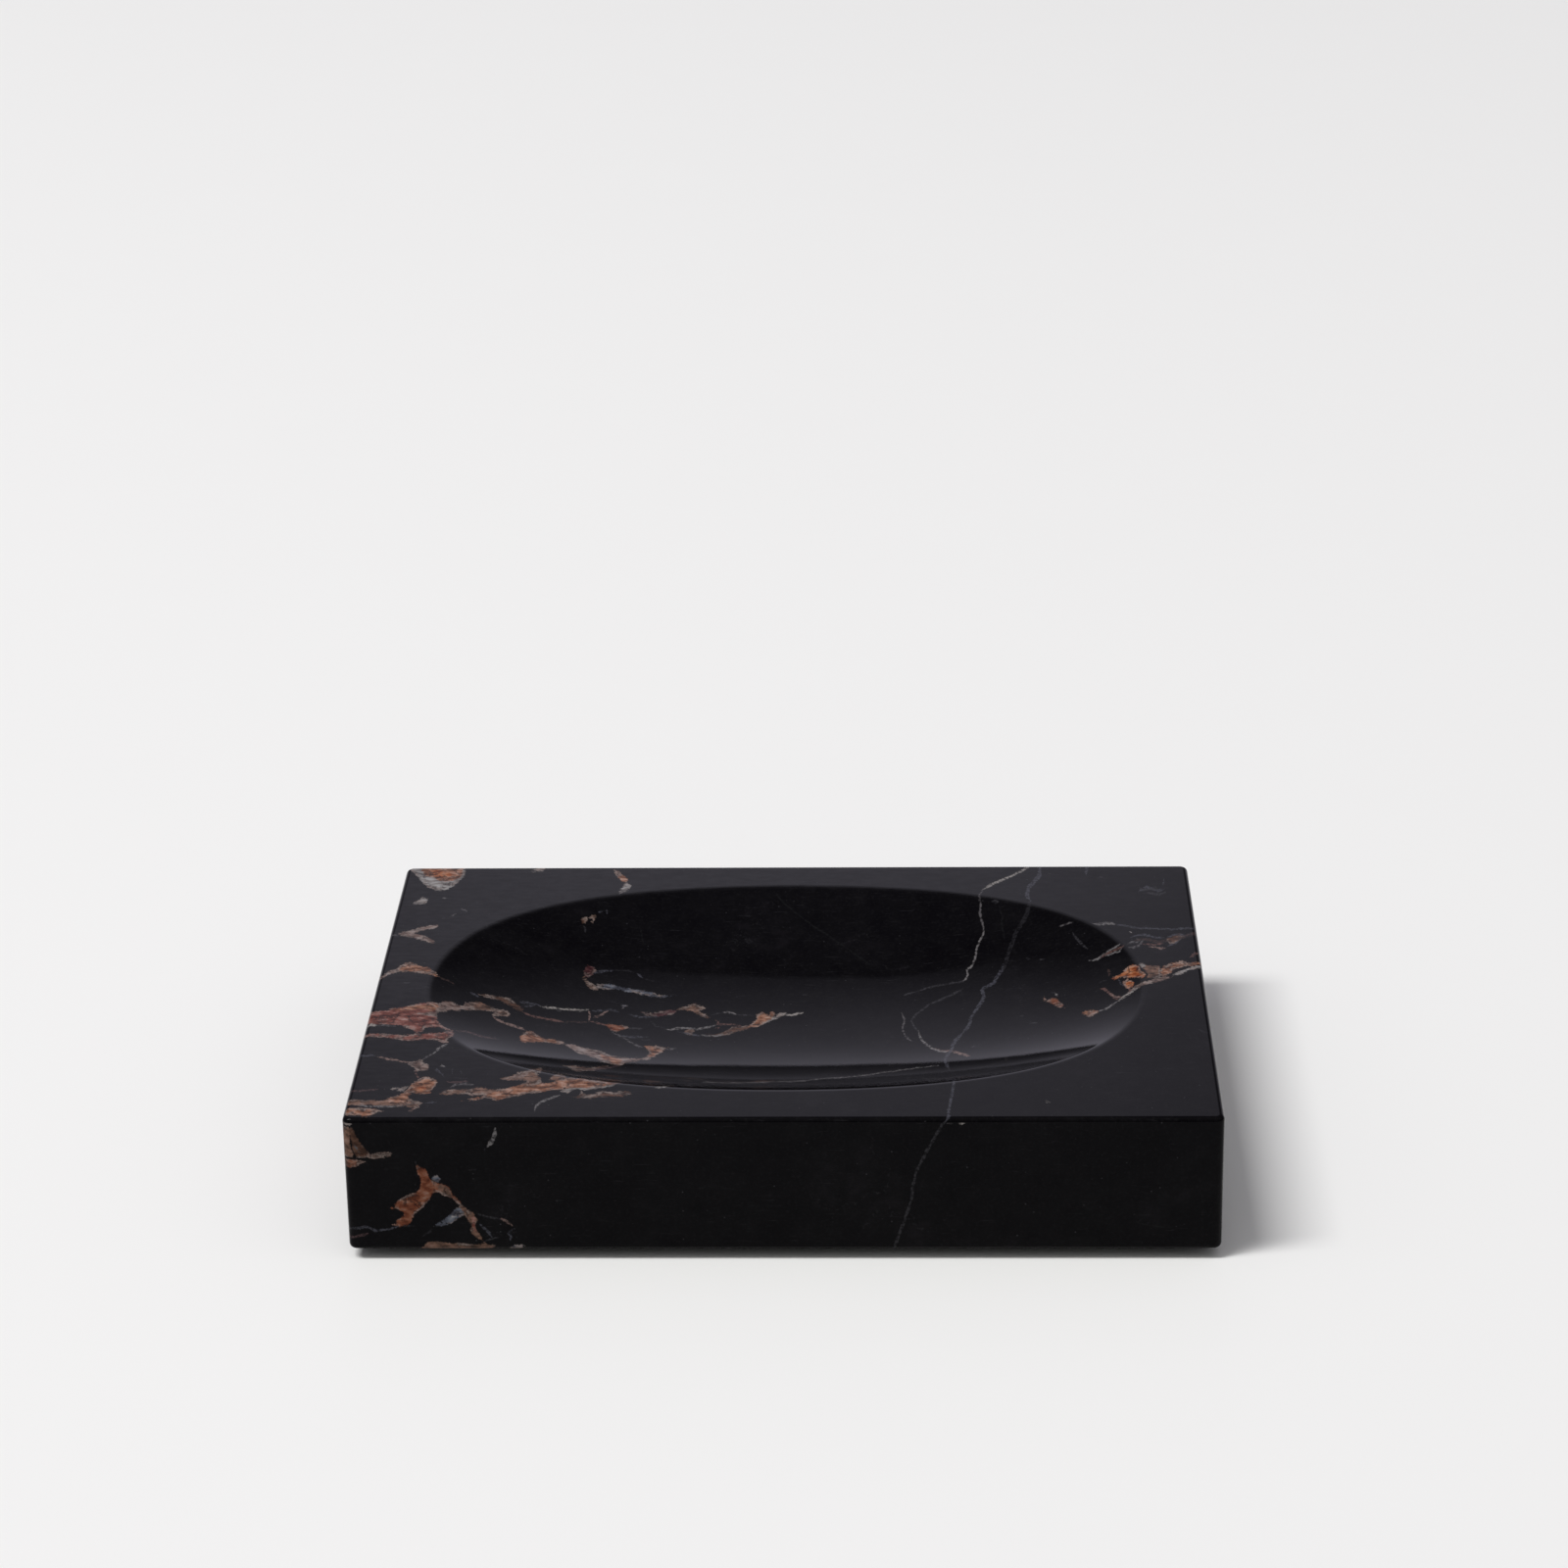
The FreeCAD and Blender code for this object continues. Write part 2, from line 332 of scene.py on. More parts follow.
    "right_end": ("gold", [
        (1103, 1034), (1109, 1031), (1115, 1030), (1122, 1032), (1117, 1036), (1111, 1038), (1106, 1036),
    ]),
    "right_wing": ("umber", [
        (1189, 958), (1196, 954), (1206, 952), (1209, 955), (1204, 959), (1200, 962), (1195, 964),
        (1191, 962),
    ]),
}
FRONT_PATCHES = {
    "fork": ("copper", [
        (423, 1189), (428, 1189), (434, 1192), (437, 1196), (438, 1202), (443, 1206), (452, 1208),
        (458, 1210), (461, 1217), (467, 1223), (472, 1229), (469, 1231), (463, 1224), (456, 1221),
        (448, 1217), (442, 1218), (438, 1225), (433, 1231), (428, 1235), (422, 1239), (420, 1247),
        (416, 1251), (406, 1252), (400, 1250), (404, 1245), (411, 1241), (411, 1237), (404, 1234),
        (394, 1235), (402, 1229), (409, 1223), (416, 1219), (426, 1216), (429, 1211), (428, 1201),
        (425, 1194),
    ]),
    "fork_light": ("brown", [
        (441, 1207), (452, 1208), (458, 1211), (461, 1217), (466, 1223), (458, 1221), (450, 1217),
        (446, 1212),
    ]),
    "fork_grey": ("slate", [
        (438, 1201), (443, 1199), (449, 1199), (450, 1204), (447, 1207), (442, 1205),
    ]),
    "fork_leg": ("brown", [
        (466, 1226), (472, 1229), (478, 1235), (484, 1238), (487, 1246), (485, 1252), (490, 1260),
        (495, 1267), (488, 1265), (482, 1260), (477, 1257), (481, 1253), (479, 1246), (474, 1241),
        (469, 1234),
    ]),
    "fork_leg_glow": ("rust", [
        (480, 1240), (484, 1240), (486, 1248), (485, 1253), (489, 1260), (484, 1258), (481, 1250),
    ]),
    "shard": ("slate", [
        (438, 1255), (446, 1248), (453, 1243), (460, 1238), (466, 1232), (473, 1232), (474, 1240),
        (467, 1245), (460, 1249), (450, 1252),
    ]),
    "shard_light": ("pale", [(456, 1245), (461, 1240), (468, 1235), (471, 1238), (465, 1243)]),
    "corner_spot": ("pale", [(346, 1142), (354, 1144), (359, 1145), (360, 1149), (346, 1148)]),
    "corner_edge": ("brown", [
        (344, 1150), (357, 1150), (357, 1162), (359, 1172), (363, 1181), (344, 1182),
    ]),
    "corner_wedge": ("umber", [
        (356, 1149), (361, 1151), (363, 1159), (370, 1168), (378, 1178), (373, 1182), (364, 1182),
        (359, 1174),
    ]),
    "left_dash": ("umber", [
        (374, 1179), (384, 1176), (400, 1175), (401, 1180), (390, 1182), (380, 1183),
    ]),
    "left_streak": ("copper", [
        (344, 1183), (362, 1183), (378, 1184), (370, 1188), (362, 1191), (344, 1193),
    ]),
    "foot_band": ("brown", [
        (430, 1273), (436, 1267), (446, 1266), (458, 1268), (472, 1268), (492, 1270), (508, 1269),
        (504, 1274), (490, 1276), (460, 1277), (432, 1277),
    ]),
    "foot_blob": ("slate", [(520, 1274), (527, 1269), (536, 1270), (536, 1273), (529, 1275)]),
}
# Four colours for each tone of patch, from its dark streaks to its pale ones.
# Later tones lie over earlier ones.
PATCH_TONES = {
    "umber": ((30, 20, 16), (56, 38, 30), (74, 52, 42), (92, 70, 60)),
    "copper": ((54, 26, 16), (92, 50, 34), (110, 68, 50), (126, 96, 84)),
    "brown": ((46, 34, 28), (80, 61, 52), (102, 76, 64), (120, 96, 86)),
    "wine": ((36, 16, 18), (58, 30, 32), (72, 50, 50), (90, 72, 70)),
    "rust": ((58, 26, 20), (98, 55, 47), (116, 75, 67), (144, 116, 110)),
    "slate": ((36, 36, 42), (54, 55, 63), (80, 84, 94), (106, 107, 113)),
    "pale": ((78, 74, 74), (112, 106, 104), (132, 128, 127), (148, 146, 146)),
    "cream": ((62, 48, 44), (94, 76, 70), (116, 100, 95), (134, 124, 122)),
    "gold": ((58, 35, 25), (102, 66, 48), (132, 92, 72), (152, 124, 112)),
    "orange": ((76, 32, 14), (118, 58, 28), (143, 88, 56), (154, 114, 92)),
}
# A line has a tone, half its width at its middle, and the points that it runs through.
TOP_LINES = {
    "vein_a_start": ("pearl", 1.0, [(1052, 883), (1034, 893), (1020, 899), (1009, 904), (1003, 908)]),
    "vein_a_wall": ("grey", 1.0, [
        (1004, 906), (999, 914), (1001, 922), (1000, 932), (1003, 943), (1004, 949),
    ]),
    "vein_a_fall": ("silver", 0.8, [
        (1004, 944), (1004, 952), (999, 962), (996, 970), (995, 978), (992, 986), (986, 990), (988, 995),
        (986, 999), (981, 1002),
    ]),
    "vein_a_turn": ("faint", 0.8, [(984, 1001), (966, 1004), (949, 1007), (938, 1011), (920, 1016)]),
    "vein_a_loop": ("grey", 0.8, [(920, 1033), (923, 1040), (921, 1050), (924, 1058), (932, 1063)]),
    "vein_a_strand": ("faint", 0.9, [
        (984, 1008), (975, 1013), (962, 1019), (946, 1026), (939, 1032), (933, 1037), (930, 1042),
        (933, 1048), (938, 1053),
    ]),
    "vein_a_strand_low": ("silver", 1.0, [
        (937, 1051), (939, 1059), (944, 1065), (952, 1070), (961, 1073), (968, 1074),
    ]),
    "vein_a_tip": ("cream", 1.0, [(952, 1069), (961, 1073), (971, 1072), (982, 1076), (991, 1078)]),
    "vein_b_start": ("slate", 2.0, [
        (1061, 882), (1061, 893), (1055, 900), (1049, 906), (1048, 914), (1052, 920),
    ]),
    "vein_b_wall": ("dim", 2.0, [
        (1051, 917), (1049, 930), (1044, 940), (1038, 949), (1032, 963), (1027, 980), (1022, 992),
    ]),
    "vein_b_floor": ("slate", 1.6, [
        (1024, 986), (1014, 1003), (1004, 1008), (1002, 1010), (1004, 1018), (997, 1029), (991, 1038),
        (989, 1046), (981, 1056),
    ]),
    "vein_b_low": ("slate", 1.6, [
        (983, 1053), (973, 1064), (971, 1071), (966, 1077), (964, 1082), (969, 1092),
    ]),
    "vein_b_border": ("slate", 1.6, [(974, 1101), (972, 1112), (969, 1128), (967, 1146)]),
    "vein_c_blob": ("faint", 1.8, [(1012, 920), (1019, 920)]),
    "vein_c": ("ghost", 0.9, [(1019, 924), (1023, 934), (1022, 943), (1025, 958)]),
    "back_mark": ("slate", 1.5, [(1109, 882), (1109, 887), (1108, 893)]),
    "back_wisp": ("faint", 0.9, [(1117, 896), (1126, 895)]),
    "smear": ("slate", 1.5, [
        (1160, 911), (1164, 908), (1171, 905), (1175, 907), (1181, 909), (1189, 907),
    ]),
    "smear_low": ("faint", 1.2, [(1166, 912), (1174, 911), (1181, 913), (1190, 910)]),
    "smear_cross": ("faint", 0.9, [(1162, 905), (1169, 911), (1177, 904), (1186, 911)]),
    "smear_tip": ("slate", 0.9, [(1186, 904), (1188, 899), (1187, 895)]),
    "right_dash": ("grey", 0.9, [(1080, 946), (1085, 944), (1089, 942), (1096, 941)]),
    "right_dash_flat": ("silver", 1.0, [(1114, 942), (1122, 943), (1132, 942), (1140, 943)]),
    "right_thread": ("slate", 0.8, [
        (1138, 943), (1150, 945), (1160, 947), (1170, 947), (1184, 948), (1200, 948), (1212, 947),
        (1224, 947),
    ]),
    "right_drop": ("faint", 1.1, [
        (1095, 951), (1096, 955), (1100, 959), (1104, 963), (1108, 967), (1111, 969),
    ]),
    "right_strand": ("silver", 0.9, [
        (1110, 980), (1116, 980), (1121, 978), (1126, 974), (1132, 970), (1138, 967), (1143, 963),
    ]),
    "right_strand_low": ("silver", 0.8, [(1126, 975), (1131, 975), (1137, 972), (1142, 971), (1145, 967)]),
    "right_strand_red": ("clay", 1.0, [(1121, 978), (1130, 973), (1139, 969), (1147, 965)]),
    "crackle_dot": ("pearl", 0.9, [(1152, 951), (1155, 952)]),
    "crackle_arch": ("slate", 0.9, [
        (1152, 957), (1157, 955), (1163, 954), (1168, 954), (1174, 955), (1182, 957), (1188, 957),
    ]),
    "crackle_loop": ("grey", 0.8, [(1158, 957), (1163, 959), (1160, 962), (1154, 961), (1150, 964)]),
    "crackle_loop_low": ("grey", 0.9, [(1151, 967), (1157, 967), (1162, 965), (1166, 960), (1170, 957)]),
    "crackle_end": ("slate", 1.0, [(1190, 957), (1196, 954), (1202, 953), (1209, 955), (1222, 951)]),
    "crackle_tail": ("slate", 0.8, [(1206, 957), (1200, 962), (1195, 964), (1190, 967)]),
    "right_blush": ("cream", 1.0, [(1172, 966), (1180, 967), (1185, 968), (1190, 967)]),
    "crackle_shade": ("umber", 1.3, [(1157, 960), (1168, 958), (1181, 961), (1193, 960)]),
    "crackle_shade_low": ("clay", 0.9, [(1165, 963), (1177, 964), (1189, 962)]),
    "crackle_shade_end": ("umber", 1.5, [(1196, 959), (1208, 956), (1224, 950)]),
    "right_edge_bit": ("clay", 1.2, [(1214, 977), (1218, 974), (1224, 972)]),
    "right_edge_bit_high": ("umber", 1.2, [(1216, 951), (1221, 954)]),
    "right_rim": ("pearl", 1.0, [(1162, 1007), (1155, 1012), (1149, 1016), (1143, 1020), (1139, 1022)]),
    "right_thread_low": ("silver", 0.9, [(1141, 1021), (1133, 1027), (1126, 1030), (1119, 1033)]),
    "right_branch": ("clay", 1.4, [
        (1121, 1009), (1127, 1009), (1131, 1012), (1134, 1015), (1138, 1019), (1142, 1020),
    ]),
    "right_branch_light": ("cream", 0.9, [(1132, 1013), (1137, 1017), (1142, 1018), (1147, 1017)]),
    "right_spark_stem": ("clay", 1.1, [(1153, 1008), (1153, 1013)]),
    "right_spark_line": ("slate", 0.8, [(1141, 999), (1143, 1003), (1147, 1006)]),
    "right_arc": ("dim", 0.8, [(1120, 1004), (1124, 1001), (1131, 1000)]),
    "right_red_speck": ("umber", 1.2, [(1130, 989), (1132, 993), (1131, 996)]),
    "fleck_white": ("silver", 0.9, [(1076, 1014), (1080, 1016)]),
    "fleck_grey": ("faint", 1.0, [(1072, 1013), (1078, 1012)]),
    "right_hairline": ("dim", 0.8, [(1222, 1050), (1233, 1054)]),
    "wisp_middle": ("faint", 0.9, [(1046, 978), (1052, 979)]),
    "wisp_right": ("faint", 0.9, [(1060, 979), (1067, 979)]),
    "wisp_low": ("dim", 0.8, [(1040, 1037), (1047, 1036)]),
    "wisp_far": ("faint", 0.8, [(1050, 1045), (1060, 1043)]),
    "wisp_cloud": ("faint", 1.2, [(990, 1068), (1001, 1067)]),
    "speck_front": ("pearl", 1.5, [(1065, 1124), (1072, 1125)]),
    "speck_rim": ("faint", 0.9, [(1038, 1112), (1042, 1112)]),
    "speck_white": ("silver", 0.9, [(450, 916), (458, 917)]),
    "speck_slant": ("grey", 0.8, [(458, 936), (466, 932)]),
    "speck_right": ("grey", 0.8, [(470, 927), (474, 928), (478, 931)]),
    "speck_low": ("faint", 0.7, [(449, 938), (455, 936)]),
    "speck_broad": ("faint", 1.2, [(409, 1003), (419, 1003)]),
    "chevron_tail": ("grey", 0.8, [(399, 954), (408, 954)]),
    "arc_tail": ("umber", 0.8, [(446, 996), (455, 1000), (465, 1005)]),
    "band_white": ("pearl", 1.3, [(370, 1047), (380, 1046), (385, 1046)]),
    "band_line": ("grey", 0.9, [(384, 1046), (393, 1046), (404, 1047)]),
    "second_band_start": ("cream", 0.8, [(366, 1056), (384, 1056)]),
    "second_band_edge": ("cream", 0.9, [(446, 1062), (452, 1063), (459, 1063)]),
    "second_band_line": ("mauve", 0.9, [
        (463, 1051), (470, 1052), (478, 1053), (486, 1056), (494, 1058), (508, 1060),
    ]),
    "white_crackle": ("silver", 1.1, [(459, 1064), (455, 1066), (449, 1069), (445, 1072), (441, 1076)]),
    "white_crackle_low": ("grey", 1.0, [(442, 1075), (436, 1078), (431, 1082)]),
    "grey_thread_start": ("slate", 0.9, [(360, 1078), (376, 1077), (385, 1077)]),
    "grey_thread": ("cream", 0.9, [(383, 1078), (391, 1080), (400, 1081), (409, 1083), (418, 1084)]),
    "knot_stem": ("clay", 1.4, [(424, 1091), (425, 1096), (428, 1101)]),
    "ring": ("slate", 0.7, [(454, 1093), (452, 1097), (448, 1098)]),
    "ring_top": ("silver", 0.8, [(446, 1089), (450, 1087), (456, 1089)]),
    "ring_side": ("slate", 0.8, [(440, 1092), (446, 1091), (450, 1095), (453, 1099)]),
    "ring_dash": ("slate", 0.7, [(461, 1096), (462, 1089)]),
    "ring_dash_right": ("slate", 0.7, [(470, 1092), (471, 1098)]),
    "net": ("grey", 0.9, [(458, 1110), (464, 1107), (471, 1106), (479, 1106), (486, 1108)]),
    "net_red": ("mauve", 1.0, [(452, 1101), (458, 1105), (466, 1105), (474, 1103), (481, 1103)]),
    "net_top": ("dim", 0.8, [(460, 1100), (470, 1100), (480, 1101)]),
    "corner_thread": ("mauve", 0.8, [(352, 1114), (367, 1113), (380, 1112), (390, 1111)]),
    "corner_tail": ("slate", 0.7, [(430, 1126), (440, 1125), (448, 1124)]),
    "corner_curl": ("cream", 0.9, [(425, 1129), (423, 1132), (416, 1134)]),
    "corner_low_line": ("silver", 0.8, [(362, 1128), (380, 1129), (398, 1129), (414, 1129)]),
    "rim_crack": ("silver", 0.9, [
        (572, 1118), (566, 1119), (560, 1121), (553, 1124), (547, 1128), (545, 1135),
    ]),
    "rim_dash": ("pearl", 0.6, [(667, 1110), (675, 1109), (684, 1108)]),
    "rim_dash_end": ("umber", 1.2, [(683, 1108), (688, 1108)]),
    "wing_line": ("mauve", 0.8, [(599, 1092), (617, 1090), (633, 1087)]),
    "wall_line": ("silver", 0.35, [
        (715, 1104), (740, 1105), (761, 1105), (790, 1104), (819, 1103), (841, 1101), (883, 1097),
        (919, 1092), (958, 1087),
    ]),
    "bowl_strand_start": ("slate", 1.0, [(478, 1012), (484, 1015), (490, 1018)]),
    "bowl_strand": ("clay", 1.0, [(533, 1032), (540, 1036), (548, 1038), (560, 1040), (576, 1043)]),
    "bowl_strand_end": ("umber", 0.8, [(574, 1043), (588, 1043), (602, 1043)]),
    "bowl_white_start": ("slate", 1.0, [(529, 1022), (538, 1023), (546, 1025), (553, 1027)]),
    "bowl_white_fork": ("slate", 0.9, [(534, 1027), (546, 1026)]),
    "bowl_white_line": ("pearl", 0.9, [
        (550, 1027), (560, 1028), (570, 1029), (582, 1030), (592, 1031), (601, 1030),
    ]),
    "bowl_white_spot": ("faint", 1.2, [(568, 1031), (573, 1031)]),
    "bowl_post": ("cream", 0.9, [(601, 1031), (602, 1036), (601, 1042)]),
    "bowl_post_top": ("slate", 0.9, [(602, 1031), (612, 1032), (624, 1030), (632, 1033)]),
    "bowl_post_arm": ("cream", 0.8, [(604, 1038), (611, 1037), (616, 1034), (622, 1031)]),
    "bowl_wedge_line": ("clay", 1.0, [(602, 1042), (611, 1044), (620, 1047)]),
    "bowl_wedge_tail": ("faint", 0.7, [(640, 1049), (656, 1050)]),
    "bowl_chain": ("cream", 1.1, [
        (503, 1037), (507, 1040), (513, 1043), (521, 1046), (530, 1049), (538, 1052),
    ]),
    "bowl_feeder": ("grey", 0.7, [
        (623, 1052), (630, 1056), (638, 1060), (646, 1065), (652, 1068), (658, 1068),
    ]),
    "bowl_feeder_high": ("slate", 0.7, [(632, 1057), (642, 1058), (652, 1058), (663, 1058)]),
    "bowl_feeder_dash": ("faint", 0.7, [(654, 1061), (665, 1061)]),
    "bowl_sweep_tip": ("grey", 0.8, [(678, 1070), (691, 1070)]),
    "bowl_arc": ("slate", 1.1, [(604, 994), (610, 992), (618, 991), (628, 990)]),
    "bowl_arc_thin": ("dim", 0.8, [(624, 990), (640, 990), (648, 993)]),
    "bowl_arc_blob": ("slate", 1.3, [(650, 993), (656, 998)]),
    "bowl_arc_end": ("dim", 0.9, [(658, 999), (669, 1001)]),
    "bowl_hook_line": ("dim", 0.8, [(619, 1021), (626, 1022), (632, 1024)]),
    "bowl_red_tick": ("clay", 0.9, [(729, 1040), (733, 1043), (731, 1046), (742, 1045)]),
    "bowl_dash_start": ("faint", 0.7, [(725, 1036), (732, 1034), (738, 1033)]),
    "bowl_white_dash": ("silver", 0.9, [(737, 1033), (744, 1033), (752, 1035)]),
    "bowl_dash_end": ("faint", 0.7, [(752, 1035), (766, 1036), (773, 1036)]),
    "bowl_net_upper": ("silver", 0.9, [
        (678, 1050), (685, 1051), (690, 1049), (698, 1049), (712, 1050), (722, 1048), (732, 1046),
    ]),
    "bowl_net_join": ("clay", 0.9, [(731, 1045), (745, 1045), (758, 1047)]),
    "bowl_net_start": ("dim", 0.8, [(663, 1042), (670, 1047), (678, 1049)]),
    "bowl_net_lower": ("slate", 0.8, [(690, 1052), (698, 1054), (708, 1056), (718, 1057)]),
    "bowl_net_light": ("silver", 0.9, [(714, 1056), (722, 1057), (731, 1057), (740, 1056)]),
    "bowl_red_fork": ("slate", 0.8, [(640, 1035), (652, 1038), (664, 1038), (673, 1037)]),
    "bowl_white_end": ("pearl", 1.0, [(794, 1036), (802, 1035), (808, 1036), (814, 1034), (821, 1033)]),
    "bowl_end_wisp": ("dim", 0.9, [(818, 1015), (824, 1015)]),
    "back_ring_tail": ("faint", 0.9, [(595, 944), (597, 947), (597, 952)]),
    "back_ring_dot": ("slate", 0.8, [(610, 931), (616, 929)]),
    "back_ring_dash": ("slate", 0.8, [(619, 928), (620, 933)]),
    "back_diagonal": ("ghost", 0.7, [
        (790, 909), (800, 922), (830, 945), (850, 958), (865, 968), (889, 986),
    ]),
    "back_scratch": ("ghost", 0.7, [(653, 946), (655, 955), (657, 964)]),
}
FRONT_LINES = {
    "fork_tip": ("faint", 0.9, [(423, 1184), (425, 1190)]),
    "leg_shadow": ("slate", 1.5, [(489, 1248), (494, 1253), (499, 1258), (503, 1264)]),
    "leg_thread": ("faint", 0.8, [(484, 1238), (492, 1240), (500, 1242), (512, 1244)]),
    "loop": ("cream", 1.3, [(510, 1243), (516, 1246), (521, 1249), (524, 1252)]),
    "loop_side": ("slate", 1.2, [(527, 1253), (522, 1255), (518, 1259), (522, 1261), (521, 1267)]),
    "loop_foot": ("faint", 0.9, [(494, 1267), (502, 1264), (511, 1262)]),
    "shard_tail": ("dim", 1.0, [(441, 1253), (439, 1257), (430, 1262)]),
    "wedge_streak": ("grey", 1.0, [(360, 1166), (363, 1171), (367, 1177)]),
    "corner_bit": ("slate", 1.3, [(359, 1143), (361, 1139), (366, 1137)]),
    "left_thread": ("slate", 1.1, [
        (350, 1257), (360, 1254), (374, 1252), (384, 1256), (394, 1255), (408, 1251),
    ]),
    "left_thread_end": ("dim", 1.0, [(408, 1251), (416, 1251), (424, 1251)]),
    "left_thread_low": ("mauve", 1.1, [(350, 1267), (364, 1262), (377, 1258)]),
    "drop": ("silver", 2.5, [(505, 1151), (505, 1157), (502, 1164), (497, 1171)]),
    "drop_tail": ("dim", 0.9, [(496, 1171), (494, 1175)]),
    "drop_speck": ("faint", 1.1, [(515, 1147), (519, 1142)]),
    "drop_speck_low": ("dim", 0.9, [(519, 1148), (522, 1151)]),
    "side_speck": ("dim", 1.1, [(477, 1194), (487, 1194)]),
    "vein_b_front": ("faint", 1.6, [
        (967, 1138), (960, 1150), (946, 1174), (935, 1195), (931, 1212), (930, 1225), (921, 1250),
        (910, 1280),
    ]),
    "twin_speck": ("grey", 1.8, [(966, 1146), (973, 1146)]),
    "twin_speck_right": ("pearl", 2.2, [(977, 1146), (985, 1146)]),
    "right_mark": ("ghost", 0.8, [(1158, 1247), (1172, 1250), (1192, 1253)]),
}
LINE_TONES = {
    "ghost": (20, 20, 21),
    "dim": (30, 29, 32),
    "faint": (43, 42, 45),
    "slate": (57, 57, 64),
    "grey": (76, 73, 75),
    "silver": (100, 97, 98),
    "pearl": (130, 125, 122),
    "umber": (50, 38, 36),
    "mauve": (66, 51, 52),
    "clay": (84, 62, 58),
    "cream": (110, 91, 86),
}
# Beyond this many pixels from a vein its distance no longer matters.
VEIN_REACH = 30.0
# Lines of one layer stay this far apart, so that a distance never changes sign between two of them.
LAYER_GAP = 13.0
# Beyond this many pixels from its middle a line fades out.
LINE_REACH = 3.5
# A line narrows to a share of its width at both ends, over this many pixels or this share of its
# length, whichever is less.
LINE_END_SHARE = 0.25
LINE_TAPER = 7.0
TAPER_SHARE = 0.3

# How the veins dip into the block: a face below the top shows what the top has this much further in.
DIP_INWARD = 0.45
DIP_ALONG = (0.30, -0.22)
# How far the front face's veins reach round onto the sides and the underside.
FRONT_WRAP = 14.0

# The stone's mesh: rings from the bowl's middle to its rim, and from there down to the underside.
BOWL_RINGS = 95
RIM_STEPS = 8
EDGE_STEPS = 5
BORDER_STEPS = 17
SIDE_STEPS = 29
BASE_STEPS = 7
# How close to each end of a flat stretch an extra ring lies.
SUPPORT = 0.06
# How much a ring's points crowd towards the corners.
CORNER_CROWDING = 0.15
# The share of the underside's size that one face closes at its middle.
BASE_HOLE = 0.2
# The least that a divisor may be.
TINY = 1e-9


def smooth(values, low, high):
    """0 up to low, 1 from high on, and a soft rise between them."""
    share = np.clip((values - low) / (high - low), 0, 1)
    return share * share * (3 - 2 * share)


def reach_of(x, y):
    """How far out a place is, as a share of the way from the bowl's middle to its rim."""
    u = (x - BOWL_SHIFT[0]) / RIM_HALF_LENGTH
    v = (y - BOWL_SHIFT[1]) / RIM_HALF_WIDTH
    return (u**4 + v**4 + RIM_ROUNDNESS_SHARE * u**2 * v**2) ** 0.25


def top_height(x, y):
    """The stone's height at a place seen from above: the bowl inside the rim, and the flat border outside."""
    return TOP - BOWL_DEPTH * (1 - np.minimum(reach_of(x, y), 1) ** BOWL_POWER)


def outline(directions, inset):
    """Points of the block's outline, drawn in by inset, and its outward normals there."""
    half = np.array([HALF_LENGTH, HALF_WIDTH])
    points = directions * half
    centres = np.clip(points, CORNER_RADIUS - half, half - CORNER_RADIUS)
    normals = points - centres
    normals /= np.linalg.norm(normals, axis=1, keepdims=True)
    return centres + normals * (CORNER_RADIUS - inset), normals


def with_supports(count, length):
    """Even shares from 0 to 1, with one more close to each end, to keep the shading there crisp."""
    shares = np.linspace(0, 1, count + 1)
    close = SUPPORT / length
    return np.concatenate([[close], shares[1:-1], [1 - close]])


def at_height(places, height):
    """Places seen from above, as points at one height."""
    return np.column_stack([places, np.full(len(places), height)])


def rim_of(directions):
    """The bowl's rim in each direction from its middle, and its rounding's reach as a share of that way."""
    raw = directions * np.array([HALF_LENGTH, HALF_WIDTH])
    reach = np.maximum(reach_of(*(raw + BOWL_SHIFT).T), TINY)
    rim = raw / reach[:, None]
    distance = np.maximum(np.linalg.norm(rim, axis=1), TINY)
    u = rim[:, 0] / RIM_HALF_LENGTH
    v = rim[:, 1] / RIM_HALF_WIDTH
    slope_x = (u**3 + RIM_ROUNDNESS_SHARE / 2 * u * v**2) / RIM_HALF_LENGTH
    slope_y = (v**3 + RIM_ROUNDNESS_SHARE / 2 * u**2 * v) / RIM_HALF_WIDTH
    steepness = BOWL_DEPTH * BOWL_POWER * np.hypot(slope_x, slope_y)
    outward = BOWL_DEPTH * BOWL_POWER / distance
    tangent = RIM_RADIUS * np.tan(np.arctan(steepness) / 2) * steepness / np.maximum(outward, TINY)
    return rim, tangent / distance


def upper_rings(start, rim, rounding, inner):
    """Rings over the bowl's rounded rim and across the flat border."""
    corner = at_height(rim + BOWL_SHIFT, TOP)
    end = at_height(rim * (1 + rounding)[:, None] + BOWL_SHIFT, TOP)
    for step in range(1, RIM_STEPS + 1):
        t = step / RIM_STEPS
        yield (1 - t) ** 2 * start + 2 * t * (1 - t) * corner + t**2 * end
    flat_end = at_height(inner, TOP)
    for t in with_supports(BORDER_STEPS, RIM_MARGIN):
        yield end + (flat_end - end) * t


